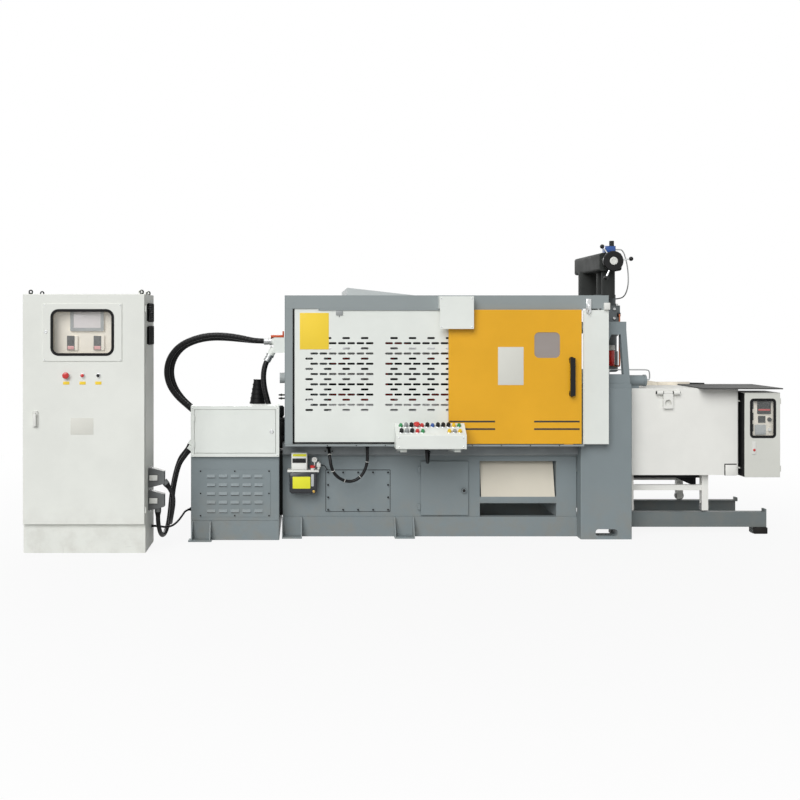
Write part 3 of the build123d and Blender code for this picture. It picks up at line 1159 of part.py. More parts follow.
FACE_RISE = CONSOLE_TOP - CONSOLE_FACE_TOP
FACE_RUN = CONSOLE_BACK - CONSOLE_FRONT
FACE_NORMAL = Vector(0, -FACE_RISE, FACE_RUN).normalized()
FACE_UP = Vector(0, FACE_RUN, FACE_RISE).normalized()
FACE_CENTRE = Vector(CONSOLE_LEFT + CONSOLE_WIDTH / 2, (CONSOLE_FRONT + CONSOLE_BACK) / 2,
                     (CONSOLE_FACE_TOP + CONSOLE_TOP) / 2)

with BuildPart() as console_controls:
    for row in (-1, 1):
        for column in range(KNOB_COUNT):
            side = (column - (KNOB_COUNT - 1) / 2) * KNOB_PITCH
            foot = FACE_CENTRE + FACE_UP * (row * KNOB_ROW_GAP / 2) + Vector(side, 0, 0)
            rod(foot, FACE_NORMAL, KNOB_REACH, KNOB_RADIUS)
finish(console_controls, "console_controls")

# Lubricator

LUBE_BACK = PLATE_FRONT
LUBE_FRONT = LUBE_BACK - LUBE_REACH
TANK_Y = (LUBE_BACK - LUBE_TANK_BACK - LUBE_TANK_DEPTH, LUBE_BACK - LUBE_TANK_BACK)

with BuildPart() as lubricator:
    block((LUBE_X - LUBE_FLANGE_WIDTH / 2, LUBE_X + LUBE_FLANGE_WIDTH / 2), (LUBE_FRONT, LUBE_BACK),
          (LUBE_FLANGE_Z, LUBE_FLANGE_Z + LUBE_FLANGE))
    block((LUBE_X - LUBE_TANK_WIDTH / 2, LUBE_X + LUBE_TANK_WIDTH / 2), TANK_Y,
          (LUBE_FLANGE_Z - LUBE_TANK_HEIGHT, LUBE_FLANGE_Z))
    block((LUBE_HEAD_X - LUBE_HEAD_WIDTH / 2, LUBE_HEAD_X + LUBE_HEAD_WIDTH / 2),
          (LUBE_FRONT, LUBE_FRONT + LUBE_HEAD_DEPTH),
          (LUBE_FLANGE_Z + LUBE_FLANGE, LUBE_FLANGE_Z + LUBE_FLANGE + LUBE_HEAD_HEIGHT))
    fillet(lubricator.edges().filter_by(Axis.Z), LUBE_HEAD_CORNER)
    rod((GAUGE_X, TANK_Y[0] + LUBE_TANK_DEPTH / 2, LUBE_FLANGE_Z + LUBE_FLANGE), (0, 0, 1),
        GAUGE_Z - LUBE_FLANGE_Z - LUBE_FLANGE, GAUGE_RADIUS / 3)
    rod((GAUGE_X, TANK_Y[0] + LUBE_TANK_DEPTH / 2 + GAUGE_DEPTH / 2, GAUGE_Z), (0, -1, 0), GAUGE_DEPTH,
        GAUGE_RADIUS)
finish(lubricator, "lubricator")

# Pillars and shot unit

PILLAR_X = (PILLAR_LEFT, PILLAR_LEFT + PILLAR_WIDTH)
PILLAR_BACK = PILLAR_FRONT + PILLAR_THICK

with BuildPart() as pillars:
    for span in mirrored((PILLAR_FRONT, PILLAR_BACK)):
        block(PILLAR_X, span, (0, PILLAR_HEIGHT))
    fillet(pillars.edges().filter_by(Axis.Z), EDGE_RADIUS)
    with BuildSketch(Plane.XZ.offset(-rear_of(PILLAR_FRONT))):
        with Locations((FORK_X, (FORK_BOTTOM + FORK_TOP) / 2)):
            RectangleRounded(FORK_WIDTH, FORK_TOP - FORK_BOTTOM, FORK_RADIUS)
    extrude(amount=rear_of(PILLAR_FRONT) - PILLAR_FRONT, mode=Mode.SUBTRACT)
finish(pillars, "pillars")

CHEEK = (PILLAR_FRONT + CHEEK_SETBACK, PILLAR_FRONT + CHEEK_SETBACK + CHEEK_THICK)


def cheek_edges(height):
    """The left and right edge of the tapered cheek at one height."""
    share = (height - PILLAR_HEIGHT) / (CROSSBAR_BOTTOM - PILLAR_HEIGHT)
    return (CHEEK_LEFT + (CHEEK_HEAD_LEFT - CHEEK_LEFT) * share,
            PILLAR_X[1] + (CHEEK_HEAD_RIGHT - PILLAR_X[1]) * share)


with BuildPart() as shot_yoke:
    for near, far in mirrored(CHEEK):
        for heights, inset, mode in (((PILLAR_HEIGHT, CROSSBAR_BOTTOM), 0, Mode.ADD),
                                     (CHEEK_WINDOW, CHEEK_BAR, Mode.SUBTRACT)):
            foot, head = (cheek_edges(height) for height in heights)
            with BuildSketch(Plane.XZ.offset(-far)):
                with BuildLine():
                    Polyline((foot[0] + inset, heights[0]), (head[0] + inset, heights[1]),
                             (head[1] - inset, heights[1]), (foot[1] - inset, heights[0]), close=True)
                make_face()
            extrude(amount=far - near, mode=mode)
        block((PILLAR_X[0] + CHEEK_FLANGE, PILLAR_X[1]), (near - CHEEK_FLANGE / 2, far + CHEEK_FLANGE / 2),
              (PILLAR_HEIGHT, PILLAR_HEIGHT + CHEEK_FLANGE))
    block((CHEEK_HEAD_LEFT, CHEEK_HEAD_RIGHT), (CHEEK[0], rear_of(CHEEK[0])), (CROSSBAR_BOTTOM, CROSSBAR_TOP))
    block((CHEEK_HEAD_LEFT, SADDLE_RIGHT), (CENTRE_Y - SADDLE_WIDTH / 2, CENTRE_Y + SADDLE_WIDTH / 2),
          (CROSSBAR_BOTTOM, CROSSBAR_TOP))
    rod((SHOT_X, CENTRE_Y, CROSSBAR_BOTTOM), (0, 0, 1), CROSSBAR_TOP - CROSSBAR_BOTTOM,
        SHOT_RADIUS + SLIDE_GAP,
        mode=Mode.SUBTRACT)
finish(shot_yoke, "shot_yoke")

with BuildPart() as shot_cylinder:
    rod((SHOT_X, CENTRE_Y, SHOT_BOTTOM), (0, 0, 1), CROSSBAR_TOP - SHOT_BOTTOM, SHOT_RADIUS)
    chamfer(shot_cylinder.edges().sort_by(Axis.Z)[0], EDGE_RADIUS)
    block((SHOT_X - SHOT_BLOCK / 2, SHOT_X + SHOT_BLOCK / 2),
          (CENTRE_Y - SHOT_BLOCK / 2, CENTRE_Y + SHOT_BLOCK / 2),
          (CROSSBAR_TOP, SHOT_BLOCK_TOP))
    rod((SHOT_X, CENTRE_Y, SHOT_BLOCK_TOP), (0, 0, 1), SHOT_NECK_TOP - SHOT_BLOCK_TOP, SHOT_NECK_RADIUS)
    rod((SHOT_X, CENTRE_Y, SHOT_BOTTOM), (0, 0, -1), SHOT_BOTTOM - FURNACE_TOP - SLIDE_GAP, SHOT_ROD_RADIUS)
finish(shot_cylinder, "shot_cylinder")

OVERARM_X_SPAN = (OVERARM_X - OVERARM_WIDTH / 2, OVERARM_X + OVERARM_WIDTH / 2)

with BuildPart() as lift_overarm:
    block(OVERARM_X_SPAN, (OVERARM_FRONT, OVERARM_BACK), (OVERARM_BOTTOM, OVERARM_TOP))
    fillet(lift_overarm.edges().filter_by(Axis.Y), OVERARM_ROUND)
    rod((SHOT_X, CENTRE_Y, SHOT_NECK_TOP), (0, 0, 1), OVERARM_BOTTOM - SHOT_NECK_TOP + OVERARM_ROUND,
        COLUMN_RADIUS)
    rod((OVERARM_X, MOTOR_Y, MOTOR_BOTTOM), (0, 0, 1), OVERARM_BOTTOM - MOTOR_BOTTOM + OVERARM_ROUND,
        MOTOR_RADIUS)
    rod((OVERARM_X, SPINDLE_Y, SPINDLE_BOTTOM), (0, 0, 1), OVERARM_BOTTOM - SPINDLE_BOTTOM + OVERARM_ROUND,
        SPINDLE_RADIUS)
    block((OVERARM_X - VALVE_WIDTH / 2, OVERARM_X + VALVE_WIDTH / 2),
          (OVERARM_FRONT + EDGE_RADIUS, OVERARM_FRONT + EDGE_RADIUS + VALVE_DEPTH), (OVERARM_TOP, VALVE_TOP))
    rod((OVERARM_X + VALVE_WIDTH / 4, OVERARM_FRONT + EDGE_RADIUS + VALVE_DEPTH / 2, VALVE_TOP), (0, 0, 1),
        VALVE_FITTING_TOP - VALVE_TOP, VALVE_FITTING_RADIUS)
finish(lift_overarm, "lift_overarm")

WHEEL_MID = WHEEL_FRONT + WHEEL_THICK / 2

with BuildPart() as handwheel:
    rod((WHEEL_X, WHEEL_FRONT, WHEEL_Z), (0, 1, 0), WHEEL_THICK, WHEEL_RADIUS)
    chamfer(handwheel.edges(), EDGE_RADIUS)
    rod((WHEEL_X, WHEEL_FRONT - WHEEL_HUB_PROUD, WHEEL_Z), (0, 1, 0), WHEEL_HUB_PROUD + WHEEL_THICK / 2,
        WHEEL_HUB_RADIUS)
    rod((WHEEL_X, WHEEL_MID, WHEEL_Z), (0, 1, 0), OVERARM_FRONT - WHEEL_MID - SEAT_GAP, WHEEL_SHAFT_RADIUS)
    for spoke in range(SPOKE_COUNT):
        angle = radians(SPOKE_START + spoke * 360 / SPOKE_COUNT)
        along = Vector(cos(angle), 0, sin(angle))
        centre = Vector(WHEEL_X, WHEEL_MID, WHEEL_Z)
        rod(centre + along * WHEEL_RADIUS / 2, along, SPOKE_REACH - WHEEL_RADIUS / 2, SPOKE_RADIUS)
        with Locations(centre + along * SPOKE_REACH):
            Sphere(SPOKE_BALL, rotation=(0, 90 - degrees(angle), 0))
finish(handwheel, "handwheel")

# Furnace, control box and trolley

FURNACE_X = (FURNACE_LEFT, FURNACE_LEFT + FURNACE_LENGTH)
FURNACE_Y = (CENTRE_Y - FURNACE_WIDTH / 2, CENTRE_Y + FURNACE_WIDTH / 2)

with BuildPart() as furnace_shell:
    block(FURNACE_X, FURNACE_Y, (FURNACE_BOTTOM, FURNACE_TOP))
    fillet(furnace_shell.edges().filter_by(Axis.Z), FURNACE_CORNER)
    chamfer(furnace_shell.faces().sort_by(Axis.Z)[-1].edges(), SHEET)
finish(furnace_shell, "furnace_shell")

LID_X = (LID_LEFT, LID_LEFT + LID_LENGTH)

with BuildPart() as furnace_lid:
    block(LID_X, (LID_FRONT, LID_FRONT + LID_WIDTH), (FURNACE_TOP, FURNACE_TOP + LID_THICK))
    chamfer(furnace_lid.faces().sort_by(Axis.Z)[-1].edges(), LID_BEVEL)
    rod((LID_X[1] - LID_BEVEL, HOOK_Y, FURNACE_TOP + HOOK_LIFT), (1, 0, 0), HOOK_LENGTH, HOOK_RADIUS)
finish(furnace_lid, "furnace_lid")

LUG_Y = FURNACE_Y[0] - LUG_STANDOFF

with BuildPart() as furnace_lug:
    rod((LUG_X - LUG_LENGTH / 2, LUG_Y, LUG_Z), (1, 0, 0), LUG_LENGTH, LUG_PIN_RADIUS)
    for left in (LUG_X - LUG_LENGTH / 2, LUG_X + LUG_LENGTH / 2 - LUG_COLLAR_LENGTH):
        rod((left, LUG_Y, LUG_Z), (1, 0, 0), LUG_COLLAR_LENGTH, LUG_COLLAR_RADIUS)
        block((left, left + LUG_COLLAR_LENGTH), (LUG_Y, FURNACE_Y[0]),
              (LUG_Z - LUG_PIN_RADIUS, LUG_Z + LUG_PIN_RADIUS))
    with BuildSketch(Plane.XZ.offset(-(LUG_Y + LUG_TAB_THICK / 2))):
        with Locations((LUG_X, (LUG_Z + LUG_TAB_BOTTOM) / 2)):
            RectangleRounded(LUG_TAB_WIDTH, LUG_Z - LUG_TAB_BOTTOM, LUG_PIN_RADIUS)
        with Locations((LUG_X, LUG_EYE_Z)):
            Circle(LUG_EYE_RADIUS, mode=Mode.SUBTRACT)
    extrude(amount=LUG_TAB_THICK)
finish(furnace_lug, "furnace_lug")

with BuildPart() as furnace_shelf:
    block((SHELF_LEFT, SHELF_RIGHT), (SHELF_FRONT, SHELF_BACK), (FURNACE_TOP, FURNACE_TOP + SHELF_THICK))
    fillet(furnace_shelf.edges().filter_by(Axis.Z), EDGE_RADIUS)
finish(furnace_shelf, "furnace_shelf")

CBOX_X = (CBOX_LEFT, CBOX_LEFT + CBOX_WIDTH)
CBOX_Z = (CBOX_BOTTOM, CBOX_TOP)
CDOOR_BACK = CBOX_FRONT + CBOX_DOOR_DEPTH
CBOX_MOUTH = CDOOR_BACK + DOOR_GAP
CBOX_BACK = CBOX_FRONT + CBOX_DEPTH
CBOX_PIN_X = CBOX_X[1] + CBOX_PIN_OFFSET
CBOX_PIN_Y = (CBOX_FRONT + CDOOR_BACK) / 2

with BuildPart() as furnace_control_box:
    block(CBOX_X, (CBOX_MOUTH, CBOX_BACK), CBOX_Z)
    block((CBOX_X[0] + SHEET, CBOX_X[1] - SHEET), (CBOX_MOUTH + SHEET, CBOX_BACK - SHEET),
          (CBOX_Z[0] + SHEET, CBOX_Z[1] - SHEET), mode=Mode.SUBTRACT)
    block((CBOX_X[0] + CBOX_RIM, CBOX_X[1] - CBOX_RIM), (CBOX_MOUTH, CBOX_MOUTH + SHEET),
          (CBOX_Z[0] + CBOX_RIM, CBOX_Z[1] - CBOX_RIM), mode=Mode.SUBTRACT)
    for height in (CBOX_Z[0] + KNUCKLE_INSET, CBOX_Z[1] - KNUCKLE_INSET):
        span = (height - KNUCKLE_LENGTH / 2, height + KNUCKLE_LENGTH / 2)
        block((CBOX_X[1], CBOX_X[1] + SHEET), (CBOX_PIN_Y, CBOX_MOUTH + KNUCKLE_LENGTH), span)
        rod((CBOX_PIN_X, CBOX_PIN_Y, span[0]), (0, 0, 1), KNUCKLE_LENGTH, CBOX_PIN_OFFSET - DOOR_GAP / 2)
    for height in (CBOX_Z[0] + CBOX_BRACKET, CBOX_Z[1] - CBOX_BRACKET):
        block((FURNACE_X[1], CBOX_X[0]), (FURNACE_Y[0] + FURNACE_CORNER, CBOX_BACK),
              (height - SHELF_THICK, height))
finish(furnace_control_box, "furnace_control_box")

with BuildPart() as furnace_box_door:
    block(CBOX_X, (CBOX_FRONT, CDOOR_BACK), CBOX_Z)
    fillet(furnace_box_door.faces().sort_by(Axis.Y)[0].edges(), SHEET)
    block((CBOX_X[0] + SHEET, CBOX_X[1] - SHEET), (CBOX_FRONT + SHEET, CDOOR_BACK),
          (CBOX_Z[0] + SHEET, CBOX_Z[1] - SHEET), mode=Mode.SUBTRACT)
    with BuildSketch(Plane.XZ.offset(-CBOX_FRONT)):
        with Locations((CBOX_WINDOW_X, CBOX_WINDOW_Z)):
            RectangleRounded(CBOX_WINDOW_WIDTH, CBOX_WINDOW_HEIGHT, CBOX_WINDOW_RADIUS)
    extrude(amount=-SHEET, mode=Mode.SUBTRACT)
finish(furnace_box_door, "furnace_box_door")

with BuildPart() as carriage_cylinder:
    rod((CARRIAGE_LEFT, CARRIAGE_Y, CARRIAGE_Z), (1, 0, 0), CARRIAGE_RIGHT - CARRIAGE_LEFT, CARRIAGE_RADIUS)
    for left in (CARRIAGE_LEFT, CARRIAGE_RIGHT - CARRIAGE_CAP):
        rod((left, CARRIAGE_Y, CARRIAGE_Z), (1, 0, 0), CARRIAGE_CAP, CARRIAGE_CAP_RADIUS)
    block((CARRIAGE_FOOT_X - CARRIAGE_FOOT / 2, CARRIAGE_FOOT_X + CARRIAGE_FOOT / 2),
          (CARRIAGE_Y - CARRIAGE_CAP, CARRIAGE_Y + CARRIAGE_CAP), (FURNACE_TOP, CARRIAGE_Z))
finish(carriage_cylinder, "carriage_cylinder")

RAIL_Y = (RAIL_FRONT, RAIL_FRONT + RAIL_WIDTH)
RAIL_MID = sum(RAIL_Y) / 2

with BuildPart() as furnace_rails:
    for near, turn in ((RAIL_Y[0], 1), (rear_of(RAIL_Y[0]), -1)):
        with BuildSketch(Plane.YZ.offset(RAIL_LEFT)):
            with BuildLine():
                Polyline((near, RAIL_BOTTOM), (near, RAIL_TOP), (near + turn * RAIL_WIDTH, RAIL_TOP),
                         (near + turn * RAIL_WIDTH, RAIL_TOP - RAIL_WALL),
                         (near + turn * RAIL_WALL, RAIL_TOP - RAIL_WALL),
                         (near + turn * RAIL_WALL, RAIL_BOTTOM + RAIL_WALL),
                         (near + turn * RAIL_WIDTH, RAIL_BOTTOM + RAIL_WALL),
                         (near + turn * RAIL_WIDTH, RAIL_BOTTOM),
                         close=True)
            make_face()
        extrude(amount=RAIL_RIGHT - RAIL_LEFT)
        span = tuple(sorted((near, near + turn * RAIL_WIDTH)))
        for left in (RAIL_LEFT, RAIL_RIGHT - RAIL_FOOT_LENGTH):
            block((left, left + RAIL_FOOT_LENGTH), span, (0, RAIL_BOTTOM))
        block((RAIL_RIGHT - RAIL_STOP, RAIL_RIGHT), span, (RAIL_TOP, RAIL_TOP + RAIL_STOP_HEIGHT))
finish(furnace_rails, "furnace_rails")

LEG_Y = (RAIL_MID - LEG_WIDTH / 2, RAIL_MID + LEG_WIDTH / 2)
AXLE_Z = RAIL_TOP + SEAT_GAP + TROLLEY_WHEEL_RADIUS

with BuildPart() as furnace_trolley:
    for near, far in mirrored(LEG_Y):
        middle = (near + far) / 2
        for place in LEG_XS:
            block((place - LEG_WIDTH / 2, place + LEG_WIDTH / 2), (near, far), (LEG_BOTTOM, FURNACE_BOTTOM))
            block((place - LEG_WIDTH / 2, place + LEG_WIDTH / 2),
                  (middle - FORK_SLOT / 2, middle + FORK_SLOT / 2),
                  (LEG_BOTTOM, FORK_SLOT_TOP), mode=Mode.SUBTRACT)
            rod((place, near, AXLE_Z), (0, 1, 0), LEG_WIDTH, AXLE_RADIUS)
        block((LEG_XS[0] + LEG_WIDTH / 2 + SEAT_GAP, LEG_XS[1] - LEG_WIDTH / 2 - SEAT_GAP),
              (middle - BAR_WIDTH / 2, middle + BAR_WIDTH / 2), (BAR_BOTTOM, BAR_BOTTOM + BAR_HEIGHT))
    for place in LEG_XS:
        block((place - BAR_WIDTH / 2, place + BAR_WIDTH / 2),
              (LEG_Y[1] + SEAT_GAP, rear_of(LEG_Y[1]) - SEAT_GAP),
              (FURNACE_BOTTOM - CROSS_HEIGHT, FURNACE_BOTTOM))
finish(furnace_trolley, "furnace_trolley")


def wheel_pair(place):
    """The two flanged wheels below one pair of trolley legs."""
    for middle in (RAIL_MID, rear_of(RAIL_MID)):
        rod((place, middle - TROLLEY_WHEEL_WIDTH / 2, AXLE_Z), (0, 1, 0), TROLLEY_WHEEL_WIDTH,
            TROLLEY_WHEEL_RADIUS)
        rod((place, middle - TROLLEY_WHEEL_WIDTH / 2, AXLE_Z), (0, 1, 0), TROLLEY_WHEEL_WIDTH,
            AXLE_RADIUS + RUNNING_GAP, mode=Mode.SUBTRACT)


with BuildPart() as trolley_wheels_left:
    wheel_pair(LEG_XS[0])
finish(trolley_wheels_left, "trolley_wheels_left")

with BuildPart() as trolley_wheels_right:
    wheel_pair(LEG_XS[1])
finish(trolley_wheels_right, "trolley_wheels_right")

# Hoses and cables

UP = Vector(0, 0, 1)
ALONG = Vector(1, 0, 0)
INTO = Vector(0, 1, 0)
HOSE_LEFT = MANIFOLD_LEFT - GLAND_LENGTH
HOSE_FOOT = BASE_HEIGHT + GLAND_LENGTH
HOOD_SIDE_EXIT = (Vector(HOOD_X[1] - SLANT_GLAND_DEPTH, HOOD_Y, HOOD_GLAND_Z)
                  + Vector(*HOOD_GLAND_WAY) * SLANT_GLAND_LENGTH)
HOOD_FOOT_EXIT = Vector(HOOD_X[0] + HOOD_GLAND_INSET, HOOD_Y, HOOD_TOPS[1] - HOOD_HEIGHT - GLAND_LENGTH)
JBOX_EXITS = [Vector(JBOX_X[0] + SLANT_GLAND_DEPTH, *place) + Vector(*JBOX_GLAND_WAY) * SLANT_GLAND_LENGTH
              for place in JBOX_GLANDS]
LEAD_EXIT = Vector(BASE_LEFT + SHEET, LEAD_END_Y, LEAD_END_Z) + Vector(*LEAD_GLAND_WAY) * LEAD_GLAND_LENGTH

cord("hose_outer", HOSE_DIAMETER, (Vector(*HOSE_STARTS[0], HOSE_FOOT), UP, 94.4),
     [(-1463, -10, 784), (-1531, -10, 854), (-1607, -10, 917), (-1682, -11, 984), (-1739, -11, 1068),
      (-1757, -12, 1170), (-1729, -12, 1271), (-1658, -12, 1352), (-1559, -13, 1398), (-1451, -13, 1424),
      (-1337, -14, 1424), (-1222, -14, 1408)],
     (Vector(HOSE_LEFT, HOSE_END_YS[0], HOSE_END_Z), -ALONG, 113.6))
cord("hose_inner", HOSE_DIAMETER, (Vector(*HOSE_STARTS[1], HOSE_FOOT), UP, 92.0),
     [(-1444, 46, 779), (-1510, 46, 847), (-1587, 46, 906), (-1657, 46, 975), (-1709, 46, 1060),
      (-1730, 45, 1159), (-1706, 45, 1258), (-1642, 44, 1338), (-1548, 44, 1383), (-1442, 43, 1403),
      (-1333, 43, 1402), (-1220, 42, 1392)],
     (Vector(HOSE_LEFT, HOSE_END_YS[1], HOSE_END_Z), -ALONG, 111.3))
cord("hose_return", HOSE_DIAMETER, (RETURN_ROOT + RETURN_WAY * RETURN_LENGTH, RETURN_WAY, 62.4),
     [(-1052, 11, 1167), (-1055, 10, 1102), (-1047, 8, 1036), (-1031, 6, 972), (-1013, 4, 907),
      (-996, 2, 844), (-982, 0, 781), (-969, -2, 719)],
     (Vector(RETURN_END_X, RETURN_END_Y, HOSE_FOOT), UP, 59.7))
cord("cabinet_cable_upper", POWER_DIAMETER, (HOOD_SIDE_EXIT, Vector(*HOOD_GLAND_WAY), 49.1),
     [(-1636, -550, 342), (-1636, -556, 292), (-1645, -546, 242), (-1655, -520, 199), (-1664, -480, 167),
      (-1671, -431, 150), (-1677, -378, 152), (-1680, -329, 172), (-1681, -289, 209), (-1680, -264, 258),
      (-1676, -257, 313), (-1668, -261, 369), (-1657, -262, 424), (-1644, -262, 480), (-1626, -262, 535)],
     (JBOX_EXITS[0], Vector(*JBOX_GLAND_WAY), 56.0))
cord("cabinet_cable_lower", POWER_DIAMETER, (HOOD_FOOT_EXIT, -UP, 42.3),
     [(-1738, -538, 160), (-1734, -518, 120), (-1730, -486, 88), (-1726, -444, 67), (-1721, -397, 61),
      (-1716, -348, 68), (-1711, -302, 91), (-1707, -261, 124), (-1703, -234, 171), (-1699, -220, 225),
      (-1694, -215, 283), (-1687, -214, 341), (-1677, -215, 399), (-1665, -215, 456), (-1649, -215, 512),
      (-1628, -215, 567)],
     (JBOX_EXITS[1], Vector(*JBOX_GLAND_WAY), 56.7))
cord("floor_cable", LEAD_DIAMETER, (Vector(CABINET_RIGHT, LEAD_START_Y, LEAD_START_Z), ALONG, 45.9),
     [(-1709, -417, 116), (-1672, -386, 116), (-1645, -347, 129), (-1625, -304, 148), (-1607, -262, 172)],
     (LEAD_EXIT, Vector(*LEAD_GLAND_WAY), 51.1))
cord("bed_cable_loop", LOOP_DIAMETER, (Vector(LOOP_START_X, BED_RAIL_FRONT, LOOP_START_Z), -INTO, 50.1),
     [(-584, -283, 608), (-580, -313, 565), (-571, -318, 513), (-552, -299, 466), (-515, -283, 429),
      (-465, -277, 406), (-409, -274, 410), (-362, -272, 441), (-333, -272, 491), (-318, -272, 546)],
     (Vector(LOOP_END_X, LOOP_END_Y, BED_RAIL_TOP), -UP, 56.1))
cord("console_cable", CONSOLE_LEAD_DIAMETER,
     (Vector(CONSOLE_LEAD_X, CONSOLE_LEAD_Y, CONSOLE_BOTTOM), -UP, 34.5),
     [(75, -445, 592), (79, -421, 567), (86, -389, 553), (95, -350, 551), (102, -306, 567),
      (110, -265, 590)],
     (Vector(CONSOLE_LEAD_END_X, BED_RAIL_FRONT, CONSOLE_LEAD_END_Z), -INTO, 37.3))
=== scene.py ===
import math
import bmesh
import bpy
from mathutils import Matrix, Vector


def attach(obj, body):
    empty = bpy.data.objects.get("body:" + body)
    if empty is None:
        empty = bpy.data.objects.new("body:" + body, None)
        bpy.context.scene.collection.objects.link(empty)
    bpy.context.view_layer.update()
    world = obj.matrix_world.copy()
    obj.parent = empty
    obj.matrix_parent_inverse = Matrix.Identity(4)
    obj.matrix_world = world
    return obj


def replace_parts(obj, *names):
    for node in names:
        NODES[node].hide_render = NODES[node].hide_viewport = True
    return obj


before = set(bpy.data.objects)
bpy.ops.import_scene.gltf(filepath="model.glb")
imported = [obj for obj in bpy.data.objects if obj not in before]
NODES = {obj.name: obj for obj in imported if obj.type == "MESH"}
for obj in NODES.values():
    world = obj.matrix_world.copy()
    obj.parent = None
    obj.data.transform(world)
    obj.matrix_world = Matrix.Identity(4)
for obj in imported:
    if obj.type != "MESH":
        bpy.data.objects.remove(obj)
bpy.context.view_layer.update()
MM = 0.001


# Finishes: wiring helpers and the shared surface effects

def linear(red, green, blue):
    """A colour as seen on a screen, 0 to 255, as the numbers that the shader takes."""
    steps = [value / 255 for value in (red, green, blue)]
    return tuple(c / 12.92 if c <= 0.04045 else ((c + 0.055) / 1.055) ** 2.4 for c in steps) + (1.0,)


def shade(colour, factor):
    """A screen colour made darker or lighter, as the shader takes it."""
    return tuple(c * factor for c in linear(*colour)[:3]) + (1.0,)


class Wiring:
    """Adds nodes to a tree; a value given by socket name is set, and a socket given is linked."""

    def __init__(self, tree):
        self.tree = tree

    def feed(self, socket, value):
        if isinstance(value, bpy.types.NodeSocket):
            self.tree.links.new(value, socket)
        else:
            socket.default_value = value

    def add(self, kind, settings=None, **values):
        node = self.tree.nodes.new(kind)
        for name, value in (settings or {}).items():
            setattr(node, name, value)
        for name, value in values.items():
            self.feed(node.inputs[name.replace("_", " ")], value)
        return node

    def sum(self, operation, first, second=0.0, clamp=False):
        node = self.add("ShaderNodeMath", {"operation": operation, "use_clamp": clamp})
        self.feed(node.inputs[0], first)
        self.feed(node.inputs[1], second)
        return node.outputs[0]

    def ramp(self, value, low, high, start=0.0, end=1.0):
        return self.add("ShaderNodeMapRange", {"interpolation_type": "SMOOTHSTEP"}, Value=value, From_Min=low,
                        From_Max=high, To_Min=start, To_Max=end).outputs["Result"]

    def noise(self, place, scale, detail=2.0, rough=0.5):
        return self.add("ShaderNodeTexNoise", Vector=place, Scale=scale, Detail=detail,
                        Roughness=rough).outputs[0]

    def mix(self, factor, first, second):
        node = self.add("ShaderNodeMix", {"data_type": "RGBA"})
        for number, value in ((0, factor), (6, first), (7, second)):
            self.feed(node.inputs[number], value)
        return node.outputs[2]

    def split(self, vector):
        return self.add("ShaderNodeSeparateXYZ", Vector=vector).outputs

    def place(self):
        return self.add("ShaderNodeTexCoord").outputs["Object"]

    def seen(self):
        """1 where the viewer looks straight at a surface, or sees it mirrored or through a pane."""
        path = self.add("ShaderNodeLightPath").outputs
        return self.sum("MAXIMUM", path["Is Camera Ray"],
                        self.sum("MAXIMUM", path["Is Glossy Ray"], path["Is Transmission Ray"]))


def effect(name, inputs, draw):
    """A shader group: draw wires its outputs, given by name, from its inputs."""
    tree = bpy.data.node_groups.new(name, "ShaderNodeTree")
    for socket, value in inputs.items():
        kind = "NodeSocketVector" if isinstance(value, tuple) else "NodeSocketFloat"
        tree.interface.new_socket(socket, in_out="INPUT", socket_type=kind).default_value = value
    wires = Wiring(tree)
    drawn = draw(wires, wires.add("NodeGroupInput").outputs)
    for socket in drawn:
        tree.interface.new_socket(socket, in_out="OUTPUT", socket_type="NodeSocketFloat")
    end = wires.add("NodeGroupOutput").inputs
    for socket, value in drawn.items():
        wires.feed(end[socket], value)
    return tree


def paint_skin(wires, given):
    place = wires.place()
    return {"Height": wires.noise(place, given["Grain Scale"]),
            "Cloud": wires.ramp(wires.noise(place, 2.2, 4.0, 0.6), 0.3, 0.72)}


def shop_dust(wires, given):
    place = wires.place()
    facing = wires.split(wires.add("ShaderNodeNewGeometry").outputs["Normal"])
    low = wires.sum("SUBTRACT", 1.0, wires.ramp(wires.split(place)["Z"], 0.0, given["Reach"]))
    upward = wires.ramp(facing["Z"], 0.5, 1.0)
    patches = wires.ramp(wires.noise(place, 9.0, 6.0, 0.62), 0.35, 0.8)
    spread = wires.sum("MULTIPLY", wires.sum("MAXIMUM", low, upward), patches)
    return {"Dust": wires.sum("MULTIPLY", spread, given["Amount"], clamp=True)}


def scuffs(wires, given):
    place = wires.place()
    lines = []
    for stretch in ((60.0, 60.0, 5.0), (6.0, 40.0, 70.0)):
        drawn = wires.add("ShaderNodeMapping", Vector=place, Scale=stretch).outputs[0]
        lines.append(wires.ramp(wires.noise(drawn, 1.0, 3.0), 0.7, 0.78))
    zones = wires.ramp(wires.noise(place, 3.3), 0.52, 0.66)
    marks = wires.sum("MULTIPLY", wires.sum("MAXIMUM", *lines), zones)
    return {"Scuff": wires.sum("MULTIPLY", marks, given["Density"], clamp=True)}


def cast_skin(wires, given):
    place = wires.place()
    pits = wires.add("ShaderNodeTexVoronoi", Vector=place, Scale=given["Pit Scale"]).outputs["Distance"]
    swell = wires.noise(place, 38.0, 4.0, 0.6)
    return {"Height": wires.sum("ADD", wires.sum("MULTIPLY", pits, 0.5), swell),
            "Shade": wires.ramp(wires.noise(place, 6.0, 5.0, 0.65), 0.3, 0.75)}


def ground_lines(wires, given):
    drawn = wires.add("ShaderNodeMapping", Vector=wires.place(), Scale=given["Stretch"]).outputs[0]
    lines = wires.noise(drawn, 1.0, 3.0, 0.7)
    return {"Height": lines, "Shade": wires.ramp(lines, 0.3, 0.7)}


